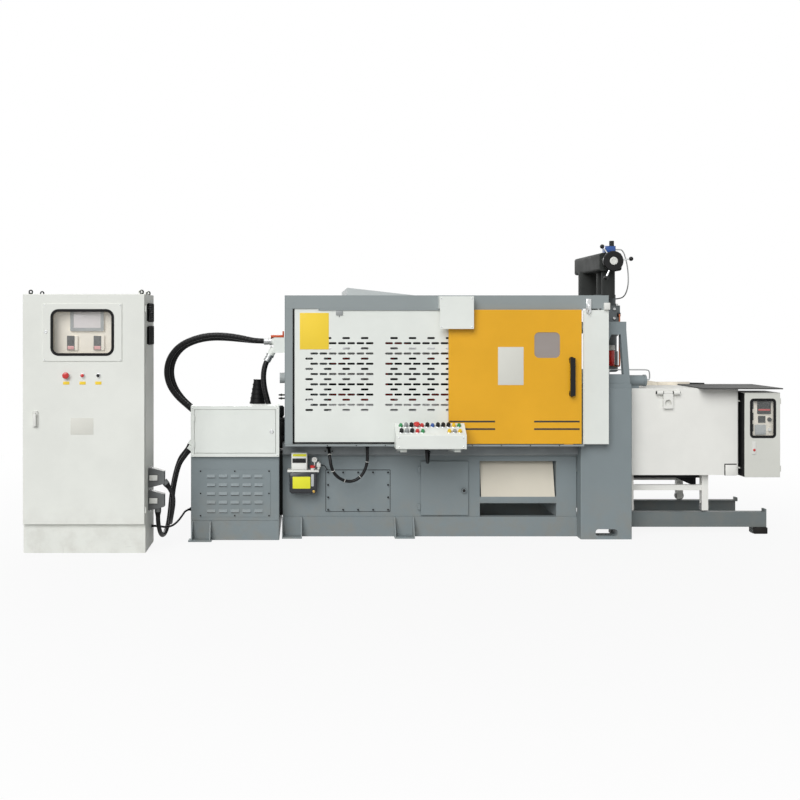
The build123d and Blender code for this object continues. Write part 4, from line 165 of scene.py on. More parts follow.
def hose_cover(wires, given):
    run = wires.split(wires.add("ShaderNodeTexCoord").outputs["UV"])
    turns = wires.sum("ADD", wires.sum("MULTIPLY", run["X"], given["Turns"]), run["Y"])
    wave = wires.sum("SINE", wires.sum("MULTIPLY", turns, 2 * math.pi))
    # The groove mask darkens the groove's colour: painted shade.
    return {"Height": wires.ramp(wave, -1.0, 0.2), "Groove": wires.ramp(wave, -1.0, -0.55, 1.0, 0.0)}


PAINT_SKIN = effect("paint skin", {"Grain Scale": 260.0}, paint_skin)
SHOP_DUST = effect("shop dust", {"Reach": 0.4, "Amount": 0.5}, shop_dust)
SCUFFS = effect("scuffs", {"Density": 0.5}, scuffs)
CAST_SKIN = effect("cast skin", {"Pit Scale": 150.0}, cast_skin)
GROUND_LINES = effect("ground lines", {"Stretch": (4.0, 900.0, 900.0)}, ground_lines)
HOSE_COVER = effect("hose cover", {"Turns": 60.0}, hose_cover)
DUST_BROWN = linear(138, 128, 112)


class Finish:
    """A material in the making: its Principled shader, its wiring and the shared effects placed in it."""

    def __init__(self, name, **constants):
        self.material = bpy.data.materials.new(name)
        self.material.use_nodes = True
        self.wires = Wiring(self.material.node_tree)
        self.shader = self.material.node_tree.nodes["Principled BSDF"]
        for socket, value in constants.items():
            self.set(socket.replace("_", " "), value)

    def use(self, tree, **values):
        return self.wires.add("ShaderNodeGroup", {"node_tree": tree}, **values).outputs

    def set(self, socket, value):
        self.wires.feed(self.shader.inputs[socket], value)

    def dress(self, colour, mask, tones, dirt, rough):
        """A body colour in two tones with dust over it, and a roughness that follows the same mask."""
        body = self.wires.mix(mask, shade(colour, tones[0]), shade(colour, tones[1]))
        self.set("Base Color", self.wires.mix(dirt, body, DUST_BROWN))
        self.set("Roughness", self.wires.ramp(mask, 0.0, 1.0, *rough))

    def bump(self, height, strength, depth):
        node = self.wires.add("ShaderNodeBump", Strength=strength, Distance=depth, Height=height)
        self.set("Normal", node.outputs[0])
        return self.material


def painted(name, colour, grain=260.0, texture=0.1, rough=0.45, dust=0.35, scuff=0.35, shine=0.32):
    """Sprayed or powder-coated sheet: fine orange peel, faint clouding, dust low down and on top, scuffs."""
    made = Finish(name, Coat_Weight=0.04, Specular_IOR_Level=shine)
    skin = made.use(PAINT_SKIN, Grain_Scale=grain)
    dirt = made.use(SHOP_DUST, Reach=0.45, Amount=dust)["Dust"]
    marks = made.use(SCUFFS, Density=scuff)["Scuff"]
    body = made.wires.mix(skin["Cloud"], shade(colour, 0.955), shade(colour, 1.02))
    worn = made.wires.mix(marks, body, shade(colour, 0.72))
    made.set("Base Color", made.wires.mix(dirt, worn, DUST_BROWN))
    dull = made.wires.sum("ADD", dirt, skin["Cloud"])
    made.set("Roughness", made.wires.ramp(dull, 0.0, 1.6, rough, rough + 0.22))
    return made.bump(skin["Height"], texture, 0.001)


def moulded(name, colour, rough=0.25, texture=0.06, coat=0.0, shine=0.5, dust=0.2):
    """Moulded plastic or rubber: a very fine skin and slight shading."""
    made = Finish(name, Coat_Weight=coat, Specular_IOR_Level=shine)
    skin = made.use(PAINT_SKIN, Grain_Scale=520.0)
    dirt = made.use(SHOP_DUST, Reach=0.3, Amount=dust)["Dust"]
    made.dress(colour, skin["Cloud"], (0.9, 1.06), dirt, (rough - 0.05, rough + 0.1))
    return made.bump(skin["Height"], texture, 0.0006)


def cast(name, colour, rough=0.45, pits=150.0, texture=0.35, metal=0.0, dust=0.4, shine=0.5):
    """A painted or raw casting: pitted skin, uneven shade and dust on top."""
    made = Finish(name, Metallic=metal, Specular_IOR_Level=shine)
    skin = made.use(CAST_SKIN, Pit_Scale=pits)
    dirt = made.use(SHOP_DUST, Reach=0.4, Amount=dust)["Dust"]
    made.dress(colour, skin["Shade"], (0.82, 1.1), dirt, (rough, rough + 0.15))
    return made.bump(skin["Height"], texture, 0.0012)


def machined(name, colour, rough=0.28, stretch=(4.0, 900.0, 900.0), texture=0.1):
    """Ground or turned metal, with lines drawn along one direction."""
    made = Finish(name, Metallic=1.0)
    lines = made.use(GROUND_LINES, Stretch=stretch)
    dirt = made.use(SHOP_DUST, Reach=0.4, Amount=0.3)["Dust"]
    made.dress(colour, lines["Shade"], (0.86, 1.08), dirt, (rough, rough + 0.14))
    return made.bump(lines["Height"], texture, 0.0004)


def clear(name, colour, rough, alpha):
    """A clear sheet: a thin tinted layer with a slightly smeared gloss."""
    made = Finish(name, Base_Color=linear(*colour), IOR=1.49)
    skin = made.use(PAINT_SKIN, Grain_Scale=30.0)
    made.set("Roughness", made.wires.ramp(skin["Cloud"], 0.0, 1.0, rough, rough + 0.08))
    made.set("Alpha", made.wires.ramp(skin["Cloud"], 0.0, 1.0, alpha - 0.02, alpha + 0.03))
    made.material.surface_render_method = "BLENDED"
    return made.material


def covered(name, colour, turns, depth=0.0016, rough=0.36):
    """The outside of a hose or cable: a moulded skin with a wrapped groove along it, the groove darkened with
    painted shade.
    """
    made = Finish(name, Specular_IOR_Level=0.22)
    wrap = made.use(HOSE_COVER, Turns=turns)
    skin = made.use(PAINT_SKIN, Grain_Scale=420.0)
    body = made.wires.mix(skin["Cloud"], shade(colour, 0.85), shade(colour, 1.2))
    # Painted shade: the wrapped groove is coloured darker, standing in for the shade that falls in it.
    made.set("Base Color", made.wires.mix(wrap["Groove"], body, shade(colour, 0.45)))
    made.set("Roughness", made.wires.ramp(skin["Cloud"], 0.0, 1.0, rough - 0.05, rough + 0.12))
    return made.bump(wrap["Height"], 0.6, depth)


CABINET_WHITE = painted("cabinet_white", (226, 228, 222), grain=420.0, texture=0.22, rough=0.5, dust=0.22)
MACHINE_WHITE = painted("machine_white", (226, 230, 225), rough=0.4)
FURNACE_WHITE = painted("furnace_white", (230, 230, 225), texture=0.16, dust=0.14, scuff=0.5)
BOX_WHITE = painted("control_box_white", (210, 211, 204), texture=0.14, dust=0.1, scuff=0.3)
MACHINE_GREY = painted("machine_grey", (126, 136, 139), texture=0.14, rough=0.42, dust=0.4, scuff=0.5)
FRAME_GREY = painted("frame_grey", (142, 150, 151), rough=0.4)
LIGHT_GREY = painted("light_grey", (186, 192, 192), rough=0.4)
CREAM = painted("instrument_cream", (243, 236, 222), texture=0.06, dust=0.0, scuff=0.1)
# The chute's cream is written darker to carry the shade that the chute lies in: in part painted shade.
CHUTE_CREAM_SHADED = painted("chute_cream", (208, 202, 187), texture=0.12, rough=0.4, dust=0.12, scuff=0.6)
DOOR_YELLOW = painted("door_yellow", (226, 168, 34), rough=0.38, scuff=0.3)
SIGN_YELLOW = painted("sign_yellow", (238, 205, 60), texture=0.04, dust=0.1, scuff=0.2)
PALE_PLATE = painted("pale_plate", (214, 214, 206), texture=0.04, rough=0.5, dust=0.1, scuff=0.3)
STRIPE_DARK = painted("stripe_dark", (52, 50, 46), texture=0.05, scuff=0.2)
RED_CAST = cast("toggle_red", (168, 52, 40))
DARK_CAST = cast("shot_unit_dark", (50, 52, 51), rough=0.6, dust=0.08, shine=0.12)
SHOT_GREY = cast("shot_unit_grey", (92, 98, 100), rough=0.5, dust=0.1, shine=0.3)
SHELF_GREY = painted("shelf_grey", (72, 73, 72), texture=0.2, rough=0.55, dust=0.1, scuff=0.9, shine=0.1)
RAIL_GREY = painted("rail_grey", (104, 112, 113), texture=0.16, dust=0.3, scuff=0.9)
LID_BOARD = cast("lid_board", (232, 224, 208), rough=0.85, pits=90.0, texture=0.6, dust=0.2)
PLATEN_STEEL = cast("platen_grey", (128, 134, 136), texture=0.2)
BRIGHT_STEEL = machined("bright_steel", (188, 190, 190))
TURNED_STEEL = machined("turned_steel", (170, 172, 172), stretch=(500.0, 500.0, 6.0))
WHEEL_STEEL = cast("wheel_steel", (120, 122, 122), rough=0.4, metal=0.6)
CHROME = machined("chrome", (214, 216, 216), rough=0.12, texture=0.03)
BRASS = machined("brass", (196, 160, 84), rough=0.25)
COPPER = machined("copper", (186, 112, 78), rough=0.3, stretch=(300.0, 300.0, 5.0))
CAST_ALUMINIUM = cast("cast_aluminium", (100, 103, 103), rough=0.4, texture=0.25, metal=0.3)
BLACK_PLASTIC = moulded("black_plastic", (20, 20, 21), rough=0.32, shine=0.25, dust=0.04)
VENT_BLACK = moulded("vent_black", (9, 9, 9), rough=0.7, texture=0.1, shine=0.04, dust=0.0)
# This black is real rubber on gaskets and reliefs, and also painted shade on the dark sheets set into gaps
# and undersides.
BLACK_RUBBER_AND_SHADE = moulded("black_rubber", (17, 17, 18), rough=0.55, texture=0.12, shine=0.15, dust=0.05)
GREY_PLASTIC = moulded("grey_plastic", (150, 154, 154), rough=0.45)
WHITE_PLASTIC = moulded("white_plastic", (224, 225, 220), rough=0.36)
TANK_SMOKE = moulded("tank_smoke", (44, 46, 50), rough=0.22, coat=0.2, shine=0.3, dust=0.05)
LIME_LABEL = painted("lime_label", (226, 224, 52), texture=0.03, rough=0.5, dust=0.1, scuff=0.1)
SCREEN_PALE = moulded("screen_pale", (222, 216, 216), rough=0.2, texture=0.01, dust=0.0)
METER_FACE = moulded("meter_face", (176, 180, 180), rough=0.3)
METER_RED = moulded("meter_red", (204, 70, 70), rough=0.35)
METER_PINK = moulded("meter_pink", (222, 150, 150), rough=0.35)
SIGNAL_RED = moulded("signal_red", (196, 34, 30), coat=0.3)
SIGNAL_GREEN = moulded("signal_green", (38, 140, 78), coat=0.3)
SIGNAL_BLUE = moulded("signal_blue", (36, 84, 160), coat=0.3)
SIGNAL_YELLOW = moulded("signal_yellow", (236, 196, 40), coat=0.3)
BRACKET_ORANGE = painted("bracket_orange", (196, 84, 48))
CLEAR_PANE = clear("clear_pane", (240, 242, 240), 0.06, 0.08)
GREY_PANE = clear("grey_pane", (164, 155, 150), 0.08, 0.8)
SMOKED_PANE = clear("smoked_pane", (200, 204, 202), 0.06, 0.1)

NODE_FINISHES = {
    CABINET_WHITE: ("cabinet_body", "cabinet_door", "cabinet_window_door"),
    CLEAR_PANE: ("cabinet_window_pane",),
    CREAM: ("cabinet_instrument_panel",),
    CAST_ALUMINIUM: ("cabinet_connectors",),
    MACHINE_GREY: ("pump_base", "pump_louvre_panel", "bed_side_channels", "bed_front_plate", "bed_web_plates",
                   "bed_access_door", "pillars", "shot_yoke", "guard_rear_panels", "carriage_cylinder"),
    MACHINE_WHITE: ("junction_box", "junction_box_door", "perforated_panel", "guard_cover_plates",
                    "clamp_manifold", "console_housing"),
    BLACK_RUBBER_AND_SHADE: ("oil_breather",),
    CHUTE_CREAM_SHADED: ("casting_chute",),
    BRIGHT_STEEL: ("tie_bars",),
    PLATEN_STEEL: ("bed_guide_rails", "rear_platen", "moving_platen", "fixed_platen"),
    RED_CAST: ("toggle_links",),
    LIGHT_GREY: ("clamp_cylinder", "top_cover"),
    FRAME_GREY: ("guard_frame",),
    DOOR_YELLOW: ("safety_door",),
    GREY_PANE: ("safety_door_window",),
    BLACK_PLASTIC: ("safety_door_handle", "handwheel"),
    DARK_CAST: ("lift_overarm",),
    SHOT_GREY: ("shot_cylinder",),
    FURNACE_WHITE: ("furnace_shell", "furnace_lug", "furnace_trolley"),
    BOX_WHITE: ("furnace_control_box", "furnace_box_door"),
    LID_BOARD: ("furnace_lid",),
    SHELF_GREY: ("furnace_shelf",),
    RAIL_GREY: ("furnace_rails",),
    WHEEL_STEEL: ("trolley_wheels_left", "trolley_wheels_right"),
}
for finish, names in NODE_FINISHES.items():
    for name in names:
        NODES[name].data.materials.clear()
        NODES[name].data.materials.append(finish)


# Shapes: small parts drawn in millimetres on the flat sides of the machine

class Side:
    """A flat side: places on it are across and up, and proud is how far out from it."""

    def __init__(self, origin, across, up):
        self.origin = Vector(origin)
        self.across = Vector(across).normalized()
        self.up = Vector(up).normalized()
        self.out = self.across.cross(self.up)

    def at(self, u, v, proud):
        return self.origin + self.across * u + self.up * v + self.out * proud


def front(y):
    return Side((0, y, 0), (1, 0, 0), (0, 0, 1))


def right(x):
    return Side((x, 0, 0), (0, 1, 0), (0, 0, 1))


def left(x):
    return Side((x, 0, 0), (0, -1, 0), (0, 0, 1))


def top(z):
    return Side((0, 0, z), (1, 0, 0), (0, 1, 0))


def below(z):
    return Side((0, 0, z), (1, 0, 0), (0, -1, 0))


def outward(place, way):
    """The side that faces one way at one place."""
    way = Vector(way).normalized()
    across = way.orthogonal().normalized()
    return Side(place, across, way.cross(across))


def rounded_outline(u, v, width, height, radius, steps=5):
    radius = max(0.05, min(radius, width / 2 - 0.02, height / 2 - 0.02))
    points = []
    corners = ((1, 1, 0), (-1, 1, 90), (-1, -1, 180), (1, -1, 270))
    for way_u, way_v, start in corners:
        for step in range(steps + 1):
            angle = math.radians(start + 90 * step / steps)
            points.append((u + way_u * (width / 2 - radius) + radius * math.cos(angle),
                           v + way_v * (height / 2 - radius) + radius * math.sin(angle)))
    return points


class Shape:
    """Solid bits gathered into one piece of one finish."""

    def __init__(self):
        self.mesh = bmesh.new()

    def skin(self, rings, closed=False):
        """Walls between rings of the same number of points; open ends are capped."""
        rows = [[self.mesh.verts.new(point) for point in ring] for ring in rings]
        pairs = list(zip(rows, rows[1:])) + ([(rows[-1], rows[0])] if closed else [])
        for near, far in pairs:
            for a in range(len(near)):
                b = (a + 1) % len(near)
                self.mesh.faces.new((near[a], near[b], far[b], far[a]))
        if not closed:
            self.mesh.faces.new(list(reversed(rows[0])))
            self.mesh.faces.new(rows[-1])
        return self

    def stack(self, side, u, v, width, height, rows, steps=5, closed=False):
        """Rounded outlines one over another: each row is (inset, proud, corner)."""
        rings = []
        for inset, proud, corner in rows:
            outline = rounded_outline(u, v, width - 2 * inset, height - 2 * inset, corner, steps)
            rings.append([side.at(a, b, proud) for a, b in outline])
        return self.skin(rings, closed)

    def plate(self, side, u, v, width, height, low, high, corner=3.0, soft=0.8):
        """A plate with rounded corners and a softened front edge."""
        soft = min(soft, (high - low) * 0.6)
        edge = ((0.0, low), (0.0, high - soft), (soft * 0.3, high - soft * 0.3), (soft, high))
        return self.stack(side, u, v, width, height,
                          [(inset, proud, corner - inset * 0.5) for inset, proud in edge])

    def ring(self, side, u, v, width, height, band, low, high, corner=10.0, soft=0.8):
        """A flat frame or gasket, softened at its front."""
        soft = min(soft, (high - low) * 0.6, band * 0.4)
        edge = ((0, low), (0, high - soft), (soft, high),
                (band - soft, high), (band, high - soft), (band, low))
        return self.stack(side, u, v, width, height,
                          [(inset, proud, corner - inset) for inset, proud in edge], closed=True)

    def turned(self, side, u, v, profile, steps=28):
        """A turned shape standing on a side: profile is (radius, proud) from its foot to its tip."""
        rings = []
        for radius, proud in profile:
            rings.append([side.at(u + max(radius, 0.02) * math.cos(2 * math.pi * s / steps),
                                  v + max(radius, 0.02) * math.sin(2 * math.pi * s / steps), proud)
                          for s in range(steps)])
        return self.skin(rings)

    def block(self, x, y, z, soft=1.5):
        """A block with softened edges, given by its spans."""
        soft = min(soft, (x[1] - x[0]) / 3, (y[1] - y[0]) / 3, (z[1] - z[0]) / 3)
        edge = ((soft, 0), (soft * 0.3, soft * 0.3), (0, soft))
        rows = [(inset, z[0] + rise, soft) for inset, rise in edge]
        rows += [(inset, z[1] - rise, soft) for inset, rise in reversed(edge)]
        return self.stack(top(0), (x[0] + x[1]) / 2, (y[0] + y[1]) / 2, x[1] - x[0], y[1] - y[0], rows, 3)

    def bar(self, start, end, radius, steps=16):
        """A round bar between two places, with softened ends."""
        start, end = Vector(start), Vector(end)
        length = (end - start).length
        soft = min(radius * 0.35, length / 3)
        profile = ((radius - soft, 0), (radius, soft), (radius, length - soft), (radius - soft, length))
        return self.turned(outward(start, end - start), 0, 0, profile, steps)

    def loop(self, side, u, v, radius, wire, steps=20):
        """A round ring of wire lying on a side."""
        rings = []
        for step in range(steps):
            turn = 2 * math.pi * step / steps
            section = [(radius + wire * math.cos(math.pi * corner / 5), wire * math.sin(math.pi * corner / 5))
                       for corner in range(10)]
            rings.append([side.at(u + reach * math.cos(turn), v + reach * math.sin(turn), proud)
                          for reach, proud in section])
        return self.skin(rings, closed=True)

    def prism(self, side, outline, low, high):
        """A plate of any outline."""
        return self.skin([[side.at(a, b, proud) for a, b in outline] for proud in (low, high)])

    def piece(self, name, finish, body="machine", slot=None):
        """The finished piece, in metres, riding on its body."""
        bmesh.ops.recalc_face_normals(self.mesh, faces=self.mesh.faces)
        bmesh.ops.scale(self.mesh, vec=(MM, MM, MM), verts=self.mesh.verts)
        data = bpy.data.meshes.new(name)
        self.mesh.to_mesh(data)
        self.mesh.free()
        return place_piece(name, data, finish, body)


def put(made):
    bpy.context.scene.collection.objects.link(made)
    return made


def place_piece(name, data, finish, body="machine", crease=32.0):
    if finish.name not in data.materials:
        data.materials.append(finish)
    data.polygons.foreach_set("use_smooth", [True] * len(data.polygons))
    data.set_sharp_from_angle(angle=math.radians(crease))
    made = put(bpy.data.objects.new(name, data))
    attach(made, body)
    return made


# Repeated parts: node trees that set out screws, slats and ties

def node_tree(name, sockets, draw):
    """A tree that sets a shape out on points, makes it real and sets its finish."""
    tree = bpy.data.node_groups.new(name, "GeometryNodeTree")
    for socket, kind in (("Geometry", "Geometry"), *sockets.items(), ("Finish", "Material")):
        tree.interface.new_socket(socket, in_out="INPUT", socket_type="NodeSocket" + kind)
    tree.interface.new_socket("Geometry", in_out="OUTPUT", socket_type="NodeSocketGeometry")
    wires = Wiring(tree)
    given = wires.add("NodeGroupInput").outputs
    points, shape, turn = draw(wires, given)
    placed = wires.add("GeometryNodeInstanceOnPoints", Points=points, Instance=shape, Rotation=turn)
    real = wires.add("GeometryNodeRealizeInstances", Geometry=placed.outputs["Instances"])
    done = wires.add("GeometryNodeSetMaterial", Geometry=real.outputs["Geometry"], Material=given["Finish"])
    wires.feed(wires.add("NodeGroupOutput").inputs["Geometry"], done.outputs["Geometry"])
    return tree


def draw_screw(wires, given):
    """A head with a domed lid and a sunk drive, facing the way that its point says."""

    def raised(mesh, face, share):
        lift = wires.sum("MULTIPLY", given["Head Height"], share)
        return wires.add("GeometryNodeExtrudeMesh", {"mode": "FACES"}, Mesh=mesh, Selection=face,
                         Offset_Scale=lift).outputs

    def narrowed(mesh, face, scale):
        return wires.add("GeometryNodeScaleElements", Geometry=mesh, Selection=face,
                         Scale=scale).outputs["Geometry"]

    drum = wires.add("GeometryNodeMeshCylinder", Vertices=given["Sides"], Radius=given["Head Radius"],
                     Depth=given["Head Height"]).outputs
    lid = raised(drum["Mesh"], drum["Top"], 0.2)
    rim = raised(narrowed(lid["Mesh"], lid["Top"], 0.8), lid["Top"], 0.0)
    recess = raised(narrowed(rim["Mesh"], rim["Top"], given["Drive"]), rim["Top"], -0.5)
    facing = wires.add("GeometryNodeInputNamedAttribute", {"data_type": "FLOAT_VECTOR"}, Name="facing")
    turn = wires.add("FunctionNodeAlignRotationToVector", {"axis": "Z"}, Vector=facing.outputs["Attribute"])
    return given["Geometry"], recess["Mesh"], turn.outputs["Rotation"]


def draw_slat(wires, given):
    slat = wires.add("GeometryNodeMeshCube", Size=given["Slat Size"])
    turn = wires.add("FunctionNodeEulerToRotation", Euler=given["Tilt"])
    return given["Geometry"], slat.outputs["Mesh"], turn.outputs["Rotation"]


def draw_tie(wires, given):
    line = wires.add("GeometryNodeMeshToCurve", Mesh=given["Geometry"]).outputs["Curve"]
    points = wires.add("GeometryNodeCurveToPoints", {"mode": "COUNT"}, Curve=line,
                       Count=given["Count"]).outputs
    ring, section = (
        wires.add("GeometryNodeCurvePrimitiveCircle", Resolution=sides, Radius=given[radius]).outputs["Curve"]
        for sides, radius in ((20, "Ring Radius"), (8, "Tie Radius")))
    band = wires.add("GeometryNodeCurveToMesh", Curve=ring, Profile_Curve=section)
    return points["Points"], band.outputs["Mesh"], points["Rotation"]


SCREW_TREE = node_tree("screws", {
    "Head Radius": "Float", "Head Height": "Float", "Sides": "Int", "Drive": "Float"}, draw_screw)
SLAT_TREE = node_tree("slats", {"Slat Size": "Vector", "Tilt": "Vector"}, draw_slat)
TIE_TREE = node_tree("ties along a cord", {
    "Count": "Int", "Ring Radius": "Float", "Tie Radius": "Float"}, draw_tie)


def grown(name, data, tree, values, body="machine"):
    """Runs a tree on a bare mesh and keeps the result as a plain piece."""
    carrier = put(bpy.data.objects.new(name + "_points", data))
    modifier = carrier.modifiers.new("tree", "NODES")
    modifier.node_group = tree
    for item in tree.interface.items_tree:
        if item.in_out == "INPUT" and item.name in values:
            modifier[item.identifier] = values[item.name]
    bpy.context.view_layer.update()
    graph = bpy.context.evaluated_depsgraph_get()
    result = bpy.data.meshes.new_from_object(carrier.evaluated_get(graph))
    bpy.data.objects.remove(carrier)
    bpy.data.meshes.remove(data)
    result.name = name
    return place_piece(name, result, values["Finish"], body, crease=28.0)


def point_mesh(places, facings=None):
    data = bpy.data.meshes.new("places")
    data.from_pydata([tuple(c * MM for c in place) for place in places], [], [])
    if facings:
        field = data.attributes.new("facing", "FLOAT_VECTOR", "POINT")
        field.data.foreach_set("vector", [c for facing in facings for c in facing])
    return data


def screws(name, places, finish, radius, height, sides, drive=0.55, body="machine"):
    """Screw heads standing on the given (place, facing) pairs."""
    seats = [Vector(place) + Vector(facing) * height * 0.4 for place, facing in places]
    data = point_mesh(seats, [facing for place, facing in places])
    values = {"Head Radius": radius * MM, "Head Height": height * MM, "Sides": sides, "Drive": drive,
              "Finish": finish}
    return grown(name, data, SCREW_TREE, values, body)


def slats(name, places, size, tilt, finish):
    values = {"Slat Size": tuple(c * MM for c in size), "Tilt": tilt, "Finish": finish}
    return grown(name, point_mesh(places), SLAT_TREE, values)


FRONTWARD = (0, -1, 0)
BACKWARD = (0, 1, 0)
RIGHTWARD = (1, 0, 0)
LEFTWARD = (-1, 0, 0)
UPWARD = (0, 0, 1)
DOWNWARD = (0, 0, -1)


def on_front(y, places):
    """Places for screws that face the front."""
    return [((x, y, z), FRONTWARD) for x, z in places]


def grid_edge(x, z, columns, rows):
    """Places round the edge of a rectangle, columns along it and rows down it."""
    places = []
    for column in range(columns):
        across = x[0] + (x[1] - x[0]) * column / (columns - 1)
        places += [(across, z[0]), (across, z[1])]
    for row in range(1, rows - 1):
        height = z[0] + (z[1] - z[0]) * row / (rows - 1)
        places += [(x[0], height), (x[1], height)]
    return places


# Cords: the same routes as the solids, as smooth lines

def round_line(name, diameter, places):
    """A smooth round line through the bends that the places set out."""
    curve = bpy.data.curves.new(name + "_line", "CURVE")
    curve.dimensions = "3D"
    curve.resolution_u = 10
    curve.bevel_depth = diameter / 2 * MM
    curve.bevel_resolution = 5
    curve.use_fill_caps = True
    spline = curve.splines.new("NURBS")
    spline.points.add(len(places) - 1)
    for point, place in zip(spline.points, places):
        point.co = (*(c * MM for c in place), 1.0)
    spline.order_u = 3
    spline.use_endpoint_u = True
    return bpy.data.objects.new(name + "_line", curve)


def pipe(name, finish, diameter, places):
    """A rigid bent pipe, kept as a plain piece."""
    line = round_line(name, diameter, places)
    data = bpy.data.meshes.new_from_object(line)
    bpy.data.objects.remove(line)
    return place_piece(name, data, finish)


def cord(node, finish, diameter, places):
    made = put(round_line(node, diameter, places))
    made.data.materials.append(finish)
    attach(made, "machine")
    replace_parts(made, node)


HOSE_BLACK = covered("hose_black", (19, 19, 20), turns=64.0)
RETURN_BLACK = covered("return_hose_black", (19, 19, 20), turns=30.0, depth=0.0014)
CABLE_BLACK = covered("cable_black", (16, 16, 17), turns=120.0, depth=0.0012, rough=0.34)
LEAD_BLACK = covered("lead_black", (15, 15, 16), turns=90.0, depth=0.0004, rough=0.34)

# Each cord: its diameter, length and stiffness, the ways its two ends leave, and its route
CORDS = (
    ("hose_outer", HOSE_BLACK, 40, 1577, "stiff", UPWARD, LEFTWARD, (
        (-1430, -10, 598), (-1430, -10, 692.4), (-1463, -10, 784), (-1531, -10, 854), (-1607, -10, 917),
        (-1682, -11, 984), (-1739, -11, 1068), (-1757, -12, 1170), (-1729, -12, 1271), (-1658, -12, 1352),
        (-1559, -13, 1398), (-1451, -13, 1424), (-1337, -14, 1424), (-1222, -14, 1408), (-1108.6, -14, 1380),
        (-995, -14, 1380))),
    ("hose_inner", HOSE_BLACK, 40, 1533, "stiff", UPWARD, LEFTWARD, (
        (-1410, 46, 598), (-1410, 46, 690), (-1444, 46, 779), (-1510, 46, 847), (-1587, 46, 906),
        (-1657, 46, 975), (-1709, 46, 1060), (-1730, 45, 1159), (-1706, 45, 1258), (-1642, 44, 1338),
        (-1548, 44, 1383), (-1442, 43, 1403), (-1333, 43, 1402), (-1220, 42, 1392), (-1106.3, 42, 1380),
        (-995, 42, 1380))),
    ("hose_return", RETURN_BLACK, 40, 704, "stiff", (-0.5, 0, -0.866), UPWARD, (
        (-1004.5, 14, 1282.37), (-1035.7, 14, 1228.33), (-1052, 11, 1167), (-1055, 10, 1102),
        (-1047, 8, 1036), (-1031, 6, 972), (-1013, 4, 907), (-996, 2, 844), (-982, 0, 781), (-969, -2, 719),
        (-965, -2, 657.7), (-965, -2, 598))),
    ("cabinet_cable_upper", CABLE_BLACK, 30, 964, "stiff", (0.6, 0, -0.8), (-0.6, 0, -0.8), (
        (-1681.5, -545, 429), (-1652.04, -545, 389.72), (-1636, -550, 342), (-1636, -556, 292),
        (-1645, -546, 242), (-1655, -520, 199), (-1664, -480, 167), (-1671, -431, 150), (-1677, -378, 152),
        (-1680, -329, 172), (-1681, -289, 209), (-1680, -264, 258), (-1676, -257, 313), (-1668, -261, 369),
        (-1657, -262, 424), (-1644, -262, 480), (-1626, -262, 535), (-1592.1, -262, 581.2),
        (-1558.5, -262, 626))),
    ("cabinet_cable_lower", CABLE_BLACK, 30, 995, "stiff", DOWNWARD, (-0.6, 0, -0.8), (
        (-1740, -545, 245), (-1740, -545, 202.7), (-1738, -538, 160), (-1734, -518, 120), (-1730, -486, 88),
        (-1726, -444, 67), (-1721, -397, 61), (-1716, -348, 68), (-1711, -302, 91), (-1707, -261, 124),
        (-1703, -234, 171), (-1699, -220, 225), (-1694, -215, 283), (-1687, -214, 341), (-1677, -215, 399),
        (-1665, -215, 456), (-1649, -215, 512), (-1628, -215, 567), (-1592.52, -215, 610.64),
        (-1558.5, -215, 656))),
    ("floor_cable", LEAD_BLACK, 14, 394, "medium", RIGHTWARD, (-0.6, -0.8, 0), (
        (-1801.5, -420, 125), (-1755.6, -420, 125), (-1709, -417, 116), (-1672, -386, 116),
        (-1645, -347, 129), (-1625, -304, 148), (-1607, -262, 172), (-1590.16, -218.88, 197),
        (-1559.5, -178, 197))),
    ("bed_cable_loop", LEAD_BLACK, 22, 704, "medium", FRONTWARD, DOWNWARD, (
        (-586, -187, 632), (-586, -237.1, 632), (-584, -283, 608), (-580, -313, 565), (-571, -318, 513),
        (-552, -299, 466), (-515, -283, 429), (-465, -277, 406), (-409, -274, 410), (-362, -272, 441),
        (-333, -272, 491), (-318, -272, 546), (-319, -272, 603.9), (-319, -272, 660))),
    ("console_cable", LEAD_BLACK, 19, 352, "medium", DOWNWARD, FRONTWARD, (
        (72, -458, 659), (72, -458, 624.5), (75, -445, 592), (79, -421, 567), (86, -389, 553),
        (95, -350, 551), (102, -306, 567), (110, -265, 590), (116, -224.3, 600), (116, -187, 600))),
)
# A cable's strain relief and a hose's pressed ferrule: (share of the cord's radius, proud)
RELIEF = ((1.45, 0.0), (1.45, 4.0), (1.3, 5.0), (1.3, 12.0), (1.16, 13.0), (1.16, 20.0),
          (1.06, 21.0), (1.06, 30.0))
FERRULE = ((1.5, 0.0), (1.5, 14.0), (1.24, 16.0), (1.24, 22.0), (1.32, 24.0), (1.32, 52.0), (1.16, 56.0))
HOSE_DIAMETER = 40

cable_ends = Shape()
hose_ends = Shape()
for node, finish, diameter, length, stiffness, start_way, end_way, places in CORDS:
    cord(node, finish, diameter, places)
    ends, fitting, steps = (hose_ends, FERRULE, 24) if diameter == HOSE_DIAMETER else (cable_ends, RELIEF, 28)
    profile = [(diameter / 2 * wide, proud) for wide, proud in fitting]
    for place, way in ((places[0], start_way), (places[-1], end_way)):
        ends.turned(outward(place, way), 0, 0, profile, steps)


def line_of(curve_object):
    """The cord's centre line, read from its own smooth curve with the roundness taken off."""
    thin = curve_object.copy()
    thin.data = curve_object.data.copy()
    thin.data.bevel_depth = 0.0
    data = bpy.data.meshes.new_from_object(thin)
    bpy.data.objects.remove(thin)
    return data


grown("bed_loop_ties", line_of(bpy.data.objects["bed_cable_loop_line"]), TIE_TREE, {
    "Count": 7, "Ring Radius": 11.6 * MM, "Tie Radius": 1.9 * MM, "Finish": WHITE_PLASTIC})
cable_ends.piece("cable_strain_reliefs", BLACK_RUBBER_AND_SHADE)
hose_ends.piece("hose_ferrules", TURNED_STEEL)


# Control cabinet

